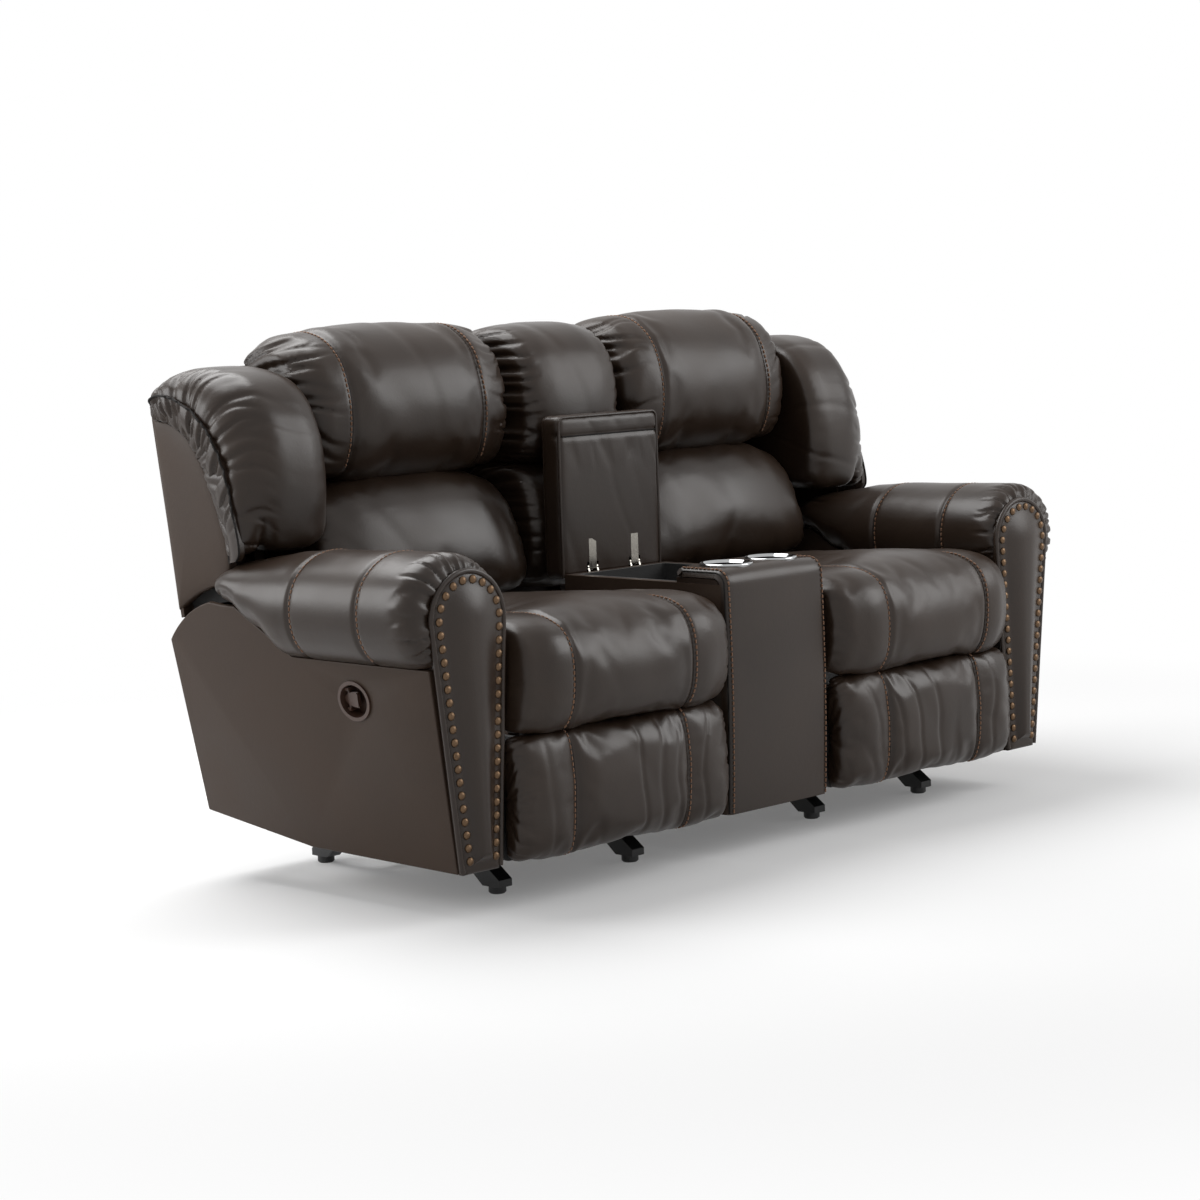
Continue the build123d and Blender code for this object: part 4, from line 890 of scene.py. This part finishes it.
band = {"points": 240, "rows": 11, "front": 0.929, "rear": 0.9085, "bow": 0.008, "fold": 0.011, "spacing": 0.036,
        "sink": 0.016, "depth": 0.012, "piping": 0.0024, "foldFrom": (0.1, 0.3), "sinkFrom": (0.94, 1.0),
        "skew": 0.03, "stretch": 0.05, "edgeFold": 0.3, "midFold": 0.7, "pipingOut": (0.0012, 0.001)}


def wingBand(side, s, seed):  # ruched strip between the piping and the side panel
    piping, edge = (smoothLine(wing[key], band["points"], False) for key in ("piping", "panelEdge"))
    along = runLength(piping)
    share = along / along[-1]
    grid = []
    for v in np.linspace(0, 1, band["rows"]):
        lengthways = np.full(band["points"], v * band["stretch"])
        fold = creases(along + band["skew"] * v, lengthways, band["spacing"], seed)
        fold = fold * smoothStep(*band["foldFrom"], share)
        bow = math.sin(math.pi * v)
        x = band["front"] + (band["rear"] - band["front"]) * v + band["bow"] * bow
        x = x - band["fold"] * fold * (band["edgeFold"] + band["midFold"] * bow)
        x = x - band["sink"] * smoothStep(*band["sinkFrom"], share)  # the rear end sinks into the wing
        grid.append(np.column_stack([s * x, piping + (edge - piping) * v]))
    under = [row - (s * band["depth"], 0, 0) for row in (grid[-1], grid[0])]
    piece = loftForm(f"{side}WingBand", [np.array(ring) for ring in zip(*grid, *under)])
    finishPiece(piece, leather, f"{side}_back", angle=70)
    paths = [row + (s * out, 0, 0) for row, out in zip((grid[0], grid[-1]), band["pipingOut"])]
    # the piping takes the near-black leather of the painted seam shade
    cordAlong(f"{side}WingPiping", paths, band["piping"], seamShadeLeather, f"{side}_back")


reclinePivot = mm((570, 300))[0]
flap = {"inside": 0.8805, "thick": 0.003, "low": 0.258, "high": 0.301, "from": 2.0, "to": 34.0}


def aboutPivot(radius, angle):  # (y, z) on an arc struck about the recline pivot
    return reclinePivot[0] + radius * math.sin(angle), reclinePivot[1] + radius * math.cos(angle)


def dustFlap(side, s):  # covered millboard that stands up behind the hem
    near, far = s * flap["inside"], s * (flap["inside"] + flap["thick"])
    rings = []
    for angle in np.radians(np.linspace(flap["from"], flap["to"], 24)):
        low, high = aboutPivot(flap["low"], angle), aboutPivot(flap["high"], angle)
        rings.append(np.array([(near, *low), (far, *low), (far, *high), (near, *high)]))
    finishPiece(loftForm(f"{side}DustFlap", rings), lining)


gapBoard = {"from": (0.2, 0.150, 0.371), "to": (0.7, 0.250, 0.374), "edge": 0.001}


def closeSeatGap(side, s):  # covered millboard below the gap between seat and back
    low, high = np.array(gapBoard["from"]), np.array(gapBoard["to"])
    piece = cubePiece(f"{side}GapBoard", (low + high) / 2 * (s, 1, 1), high - low)
    applyModifier(piece, "BEVEL", {"width": gapBoard["edge"], "segments": 2})
    finishPiece(piece, lining)


backFlange = {"x": (0.1452, 0.1655), "foot": (0.3046, 0.33), "top": (0.4116, 0.97), "thick": 0.018}


def closeBackSlot(side, s):  # the centre back's leather flange, which closes the slot beside a reclining back
    foot, top = np.array(backFlange["foot"]), np.array(backFlange["top"])
    rear = (backFlange["thick"], 0)
    rings = [ringAtX(s * x, np.array([foot, top, top + rear, foot + rear])) for x in backFlange["x"]]
    finishPiece(loftForm(f"{side}BackFlange", rings), panelLeather)


wingPanel = {
    "hem": 0.292, "hemFrom": 37, "hemTo": 4,  # radius and degrees about the recline pivot
    "steps": ((0.8925, 1.0), (0.9045, 1.0), (0.9075, 0.99), (0.9088, 0.972), (0.9105, 0.9), (0.9122, 0.75),
              (0.913, 0.5), (0.9134, 0.25)),
}


def wingSide(side, s):  # flat outside panel from the ruched strip to the rear edge and the hem
    edge = smoothLine(wing["panelEdge"], 60, False)
    angles = np.linspace(math.radians(wingPanel["hemFrom"]), math.radians(wingPanel["hemTo"]), 24)
    hem = np.array([aboutPivot(wingPanel["hem"], angle) for angle in angles])
    rear = [edge[-1] + (hem[0] - edge[-1]) * t for t in np.linspace(0, 1, 30)[1:-1]]
    loop = np.concatenate([edge, rear, hem])
    middle = loop.mean(axis=0)
    rings = [ringAtX(s * x, middle + (loop - middle) * share) for x, share in wingPanel["steps"]]
    finishPiece(loftForm(f"{side}WingSide", rings), panelLeather, f"{side}_back", angle=50)


rightWing = wingForm("rightWingCushion")
puff(rightWing, wing, wingHeld)
for side, s, piece in bothSides(rightWing, "WingCushion"):
    dressWing(piece, s, 50.0 + 3 * s)
    finishPad(piece, f"{side}_back", f"{side}_wing_cushion")
    wingBand(side, s, 60.0 + 3 * s)
    wingSide(side, s)
    dustFlap(side, s)
    closeSeatGap(side, s)
    closeBackSlot(side, s)
print("stage: wings")


# Panels
def cadPanel(node, name, bevel, body):  # CAD panel with its flats merged and its edges rounded
    piece = nodes[node].copy()
    piece.data = nodes[node].data.copy()
    piece.name = piece.data.name = name
    piece.parent = None
    for key in list(piece.keys()):
        del piece[key]
    scene.collection.objects.link(piece)
    piece.hide_render = False
    outwards(piece)
    editMesh(piece, (bpy.ops.mesh.dissolve_limited, {"angle_limit": 0.02}))
    applyModifier(piece, "BEVEL", {"width": bevel, "segments": 4, "limit_method": "ANGLE", "angle_limit": 0.6})
    finishPiece(piece, panelLeather, body, node, angle=30)


for side, s in sides:
    cadPanel(f"{side}_arm_panel", f"{side}ArmSide", 0.004, "rocking_frame")
    cadPanel(f"{side}_back_shell", f"{side}BackShell", 0.005, f"{side}_back")

facing = {
    "archX": 0.828, "archZ": 0.550, "arch": 0.086, "footIn": 0.773, "footOut": 0.860, "hem": 0.088, "crown": 0.0145,
    "border": 0.0205, "welt": 0.0055, "weltDepth": 0.004, "crownFoot": 0.0022, "crownRoom": 0.004,
    "rim": [(0.0, 0.018), (0.0, 0.007), (0.0012, 0.003), (0.004, 0.0006), (0.008, -0.0008),
            (0.015, -0.0016)],  # (inset, depth)
}
nail = {"radius": 0.0088, "pitch": 0.0236, "inset": 0.0128, "height": 0.0052, "seat": 0.0012, "rim": 0.0012,
        "endRoom": 0.013}


def facingPath():  # from the inner foot over the arch to the outer foot
    centre = np.array((facing["archX"], facing["archZ"]))
    feet = [np.array((facing[foot], facing["hem"])) for foot in ("footIn", "footOut")]
    arch = [centre + facing["arch"] * np.array((math.cos(a), math.sin(a))) for a in np.linspace(math.pi, 0, 49)]
    inner = [feet[0] + (arch[0] - feet[0]) * t for t in np.linspace(0, 1, 60, endpoint=False)]
    outer = [arch[-1] + (feet[1] - arch[-1]) * t for t in np.linspace(0, 1, 61)[1:]]
    return np.array(inner + arch + outer)


def facingHalf(z):  # share of the way up to the arch, and half the width there
    share = np.clip((z - facing["hem"]) / (facing["archZ"] - facing["hem"]), 0, 1)
    return share, (facing["footOut"] - facing["footIn"]) / 2 * (1 - share) + facing["arch"] * share


def insetLoop(loop, amount):  # the facing's outline drawn in evenly
    x, z = loop.T
    archX, archZ, hem = facing["archX"], facing["archZ"], facing["hem"]
    rise = archZ - hem
    share, half = facingHalf(z)
    middle = (facing["footIn"] + facing["footOut"]) / 2 * (1 - share) + archX * share
    sideX = middle + (x - middle) * (half - amount) / half
    sideZ = hem + amount + (z - hem) * (rise - amount) / rise
    scale = (facing["arch"] - amount) / facing["arch"]
    arched = z > archZ
    drawnX = np.where(arched, archX + (x - archX) * scale, sideX)
    return np.column_stack([drawnX, np.where(arched, archZ + (z - archZ) * scale, sideZ)])


def atDepth(s, outline, depth):  # an outline in (x, z) at a depth behind the arm fronts
    return np.column_stack([s * outline[:, 0], np.full(len(outline), armFront + depth), outline[:, 1]])


def makeFacing(side, s):
    path = facingPath()
    hem = np.column_stack([np.linspace(facing["footOut"], facing["footIn"], 14)[1:-1], np.full(12, facing["hem"])])
    loop = np.concatenate([path, hem])
    room = facingHalf(loop[:, 1])[1] - facing["border"] - facing["crownRoom"]
    steps = list(facing["rim"])
    for t in np.linspace(0, 1, 10):  # the crowned middle inside the nails
        height = facing["crownFoot"] + facing["crown"] * math.sin(math.pi / 2 * t)
        steps.append((facing["border"] + room * t, -height))
    piece = loftForm(f"{side}ArmFacing", [atDepth(s, insetLoop(loop, amount), depth) for amount, depth in steps])
    finishPad(piece, "rocking_frame", f"{side}_arm_facing", 70)
    edge = insetLoop(loop, -facing["welt"] * 0.4)[:len(path)]
    edge = edge[edge[:, 1] > facing["hem"] + facing["welt"] * 0.5]
    cordAlong(f"{side}ArmWelt", [atDepth(s, edge, facing["weltDepth"])], facing["welt"], leather, corners=12)
    return insetLoop(loop, nail["inset"])[:len(path)]


def nailHeads(side, s, line):  # one domed nail head modelled once, copied round the facing
    ball = {"segments": 10, "ring_count": 6, "radius": nail["radius"]}
    model = basicForm("nailHead", bpy.ops.mesh.primitive_uv_sphere_add, **ball)
    halve = {"plane_co": (0, 0, -nail["rim"]), "plane_no": (0, 0, 1), "clear_inner": True, "use_fill": True}
    editMesh(model, (bpy.ops.mesh.bisect, halve))
    shape, polygons = takeShape(model)
    a, b, c = (shape * (1, 1, nail["height"] / nail["radius"])).T
    steps, room = runLength(line), nail["endRoom"]
    number = int((steps[-1] - 2 * room) / nail["pitch"])
    copies = []
    for spot in np.linspace(room, steps[-1] - room, number):
        x, z = np.interp(spot, steps, line[:, 0]), np.interp(spot, steps, line[:, 1])
        copies.append(np.column_stack([s * (x + a), armFront - nail["seat"] - c, z + b]))
    finishPiece(joinCopies(f"{side}NailHeads", polygons, copies), bronze, angle=80)


for side, s in sides:
    nailHeads(side, s, makeFacing(side, s))
print("stage: facings and nails")


def insideArm(side, s):  # leather over the arm frame's inner board
    board = nodes[f"{side}_arm_frame"].data
    face = s * min(abs(v.co.x) for v in board.vertices)
    outline = {(round(v.co.y, 5), round(v.co.z, 5)) for v in board.vertices if abs(v.co.x - face) < 1e-4}
    middle = np.mean(list(outline), axis=0)
    ring = sorted(outline, key=lambda q: math.atan2(q[1] - middle[1], q[0] - middle[0]))
    piece = loftForm(f"{side}ArmInside", [ringAtX(face - s * off, ring) for off in (0.0025, 0.0003)])
    finishPiece(piece, panelLeather)


armRear = {
    "line": ((0.3445, 0.137), (0.353, 0.139), (0.359, 0.19), (0.370, 0.30), (0.381, 0.40), (0.3878, 0.470),
             (0.3862, 0.4775), (0.356, 0.503), (0.325, 0.5275), (0.295, 0.5405), (0.262, 0.5495),
             (0.225, 0.5565)),
    "hub": (0.230, 0.340), "inside": 0.7815, "outFoot": (0.135, 0.8578), "outTop": (0.5286, 0.9100), "thick": 0.003,
}


def closeArmRear(side, s):  # leather that closes the rear and the shoulder between the arm's boards
    (lowZ, lowX), (highZ, highX) = armRear["outFoot"], armRear["outTop"]
    hub, inner = np.array(armRear["hub"]), s * armRear["inside"]
    rings = []
    for spot in np.array(armRear["line"]):
        under = spot + (hub - spot) / np.linalg.norm(hub - spot) * armRear["thick"]
        outer = s * (lowX + (highX - lowX) * (spot[1] - lowZ) / (highZ - lowZ))
        rings.append(np.array([(inner, *spot), (outer, *spot), (outer, *under), (inner, *under)]))
    finishPiece(loftForm(f"{side}ArmRear", rings), panelLeather)


for side, s in sides:
    insideArm(side, s)
    closeArmRear(side, s)

# Console
console = {
    "half": 0.1495, "hem": 0.090, "top": 0.5755, "bend": 0.032, "rear": 0.1225, "proud": 0.0065,
    "thick": 0.005, "edge": 0.016, "crown": 0.005, "cupX": 0.067, "cupSet": 0.066, "cupHole": 0.0485,
    "hemCurl": 0.003, "bulge": 0.004, "stitchShare": 0.38, "stitchLean": 0.4, "cordShare": 0.82,
    "tuck": ((0.004, 0.004), (0.005, 0.02)), "crownFrom": 0.6, "holeDepth": 0.08, "edgeRings": 7, "topRings": 30,
}


def consoleProfile():  # up the front, round the edge and back along the top
    front, rear = armFront - console["proud"], armFront + console["rear"]
    hem, top, bend = console["hem"], console["top"], console["bend"]
    line = []
    for t in np.linspace(0, 1, 48):
        curl = console["hemCurl"] * (1 - t) ** 2
        line.append((front + curl - console["bulge"] * math.sin(math.pi * t), hem + (top - bend - hem) * t))
    for a in np.linspace(0, math.pi / 2, 12)[1:]:
        line.append((front + bend * (1 - math.cos(a)), top - bend * (1 - math.sin(a))))
    line += [(y, top) for y in np.linspace(front + bend, rear, 20)[1:]]
    return np.array(line + [(rear + back, top - down) for back, down in console["tuck"]])


def consoleCover():
    line = consoleProfile()
    ahead = np.gradient(line, axis=0)
    normal = np.column_stack([-ahead[:, 1], ahead[:, 0]])
    normal /= np.linalg.norm(normal, axis=1)[:, None]
    half, edge, count = console["half"], console["edge"], len(line)
    spans = ((-half, -half + edge), (half - edge, half))
    left, right = (np.linspace(*span, console["edgeRings"]) for span in spans)
    xs = np.concatenate([left, np.linspace(-half + edge, half - edge, console["topRings"])[1:-1], right])
    verts, faces = [], []
    for x in xs:
        over = max(0.0, abs(x) - half + edge) / edge
        crown = console["crown"] * ((x / half) ** 2 - console["crownFrom"])
        sink = edge * (1 - math.sqrt(max(0.0, 1 - over ** 2))) + crown
        verts += list(ringAtX(x, line - normal * sink))
    for i in range(len(xs) - 1):
        for j in range(count - 1):
            faces.append((i * count + j, (i + 1) * count + j, (i + 1) * count + j + 1, i * count + j + 1))
    piece = meshPiece("consoleCover", verts, faces)
    applyModifier(piece, "SOLIDIFY", {"thickness": console["thick"], "offset": -1.0})
    outwards(piece)
    hole = {"vertices": 64, "radius": console["cupHole"], "depth": console["holeDepth"]}
    for s in (-1, 1):
        place = (s * console["cupX"], armFront + console["cupSet"], console["top"])
        cutAway(piece, basicForm("cupHole", bpy.ops.mesh.primitive_cylinder_add, location=place, **hole))
    finishPiece(piece, leather, replaced="console_top", angle=35)

    def alongEdge(s, share):  # a line on the rounded edge, by its share of the way round
        sink = edge * (1 - math.sqrt(1 - share ** 2))
        return ringAtX(s * (half - edge * (1 - share)), (line - normal * sink)[:-2])

    rows = []
    for s in (-1, 1):
        lean = ringAtX(s * console["stitchLean"], normal[:-2])
        rows += stitchPlaces((alongEdge(s, console["stitchShare"]), lean))
    sewRows("consoleStitches", rows)
    # near-black cords on the rounded edges, painted shade in the seam grooves
    seams = [alongEdge(s, console["cordShare"]) for s in (-1, 1)]
    cordAlong("consoleSeamShadeCord", seams, stitch["cord"], seamShadeLeather)


cheek = {
    "x": (0.1407, 0.1487),
    "line": ((-0.366, 0.5435), (-0.364, 0.550), (-0.358, 0.5545), (-0.352, 0.5557), (-0.2545, 0.5557),
             (-0.2545, 0.5435)),
}
cupRing = {"middle": 0.0494, "half": 0.0047, "top": 0.5775, "flatten": 0.8, "funnel": 0.0025}


def consoleCheek(side, s):  # padding that fills the side between the cover and the console's rim
    piece = loftForm(f"{side}ConsoleCheek", [ringAtX(s * x, np.array(cheek["line"])) for x in cheek["x"]])
    finishPiece(piece, leather)


def makeCupRing(side, s):  # rounded trim ring over the cup holder's flat rim, sloping in towards the cup
    x, y, z = s * console["cupX"], armFront + console["cupSet"], cupRing["top"]
    middle, half = cupRing["middle"], cupRing["half"]
    ring = {"major_radius": middle, "minor_radius": half, "major_segments": 80, "minor_segments": 18}
    piece = basicForm(f"{side}CupRing", bpy.ops.mesh.primitive_torus_add, location=(x, y, z), **ring)
    p = readPoints(piece)
    inwards = np.clip((middle - np.hypot(p[:, 0] - x, p[:, 1] - y)) / half, -1, 1)
    p[:, 2] = z + (p[:, 2] - z) * cupRing["flatten"] - cupRing["funnel"] * np.maximum(inwards, 0)
    writePoints(piece, p)
    finishPiece(piece, chrome, angle=80)


consoleCover()
for makePiece in (consoleCheek, makeCupRing):
    for side, s in sides:
        makePiece(side, s)

lid = {
    "half": 0.1485, "front": 0.0655, "rear": 0.1225, "low": 0.5335, "high": 0.8705, "corner": 0.013,
    "voxel": 0.0055, "seamDrop": 0.042, "crown": 0.006, "hingeX": 0.063, "pocket": (0.035, 0.024, 0.034),
    "piping": 0.0032, "seamHollow": (0.004, 0.005), "seamCreases": (0.0018, 0.05), "wrinkles": (0.0009, 0.1),
    "pocketSet": (0.004, 0.014), "weltSet": 0.0035, "weltStep": 0.008, "cordSet": 0.0005, "frontCrown": 0.55,
    "weltIn": 0.003, "weltUp": 0.004, "cordIn": 0.006, "halves": 0.02,
    "seamSlant": 0.2, "slant": 0.25, "creaseDrop": 0.03, "creaseReach": 0.06,
}


def makeLid():
    size = (2 * lid["half"], lid["rear"] - lid["front"], lid["high"] - lid["low"])
    middle = (0, (lid["rear"] + lid["front"]) / 2, (lid["high"] + lid["low"]) / 2)
    piece = cubePiece("lidPad", middle, size)
    editMesh(piece, (bpy.ops.mesh.bevel, {"offset": lid["corner"], "segments": 4}))
    applyModifier(piece, "REMESH", {"mode": "VOXEL", "voxel_size": lid["voxel"]})
    applyModifier(piece, "SMOOTH", {"factor": 0.5, "iterations": 3})
    x, y, z = readPoints(piece).T
    aboveSeam = z - lid["high"] + lid["seamDrop"]
    u = np.clip(1 - (x / lid["half"]) ** 2, 0, 1)
    v = np.clip(1 - ((z - middle[2]) / (size[2] / 2)) ** 2, 0, 1)
    front, rear = (smoothStep(0.0, lid["halves"], off) for off in (middle[1] - y, y - middle[1]))
    shape = lid["crown"] * np.sqrt(u * v) * (lid["frontCrown"] * front + rear)
    depth, width = lid["seamHollow"]
    shape -= depth * np.exp(-(aboveSeam / width) ** 2) * front
    belowSeam = smoothStep(lid["creaseReach"], 0.0, np.abs(aboveSeam + lid["creaseDrop"]))
    shape += creaseLayer(lid["seamCreases"], x + lid["seamSlant"] * z, z, 71.0) * belowSeam
    press(piece, shape + creaseLayer(lid["wrinkles"], x + lid["slant"] * z, z, 73.0))
    inset, rise = lid["pocketSet"]
    for s in (-1, 1):  # pockets for the hinge straps
        place = (s * lid["hingeX"], lid["front"] + inset, lid["low"] + rise)
        cutAway(piece, cubePiece("hingePocket", place, lid["pocket"]))
    finishPad(piece, "console_lid", "console_lid", 60)
    half, low, high = lid["half"] - lid["weltIn"], lid["low"] + lid["weltUp"], lid["high"] - lid["weltIn"]
    corner = lid["corner"]
    edge = [(half, low)]
    for hubX, start in ((half - corner, 0), (corner - half, math.pi / 2)):
        for a in np.linspace(start, start + math.pi / 2, 7):
            edge.append((hubX + corner * math.cos(a), high - corner + corner * math.sin(a)))
    edge.append((-half, low))
    dense = []
    for a, b in zip(edge, edge[1:]):
        count = max(1, int(math.hypot(b[0] - a[0], b[1] - a[1]) / lid["weltStep"]))
        dense += [(a[0] + (b[0] - a[0]) * k / count, a[1] + (b[1] - a[1]) * k / count) for k in range(count)]
    welt = np.array([(x, lid["front"] + lid["weltSet"], z) for x, z in dense + [edge[-1]]])
    seamZ = lid["high"] - lid["seamDrop"]
    seamY = lid["front"] + lid["cordSet"]
    across = np.array([(x, seamY, seamZ) for x in np.linspace(-half + lid["cordIn"], half - lid["cordIn"], 40)])
    cordAlong("lidPiping", [welt], lid["piping"], leather, "console_lid", 8)
    # near-black cord along the seam below the top, painted shade in the seam's hollow
    cordAlong("lidSeamShadeCord", [across], stitch["cord"], seamShadeLeather, "console_lid")


makeLid()
print("stage: console")
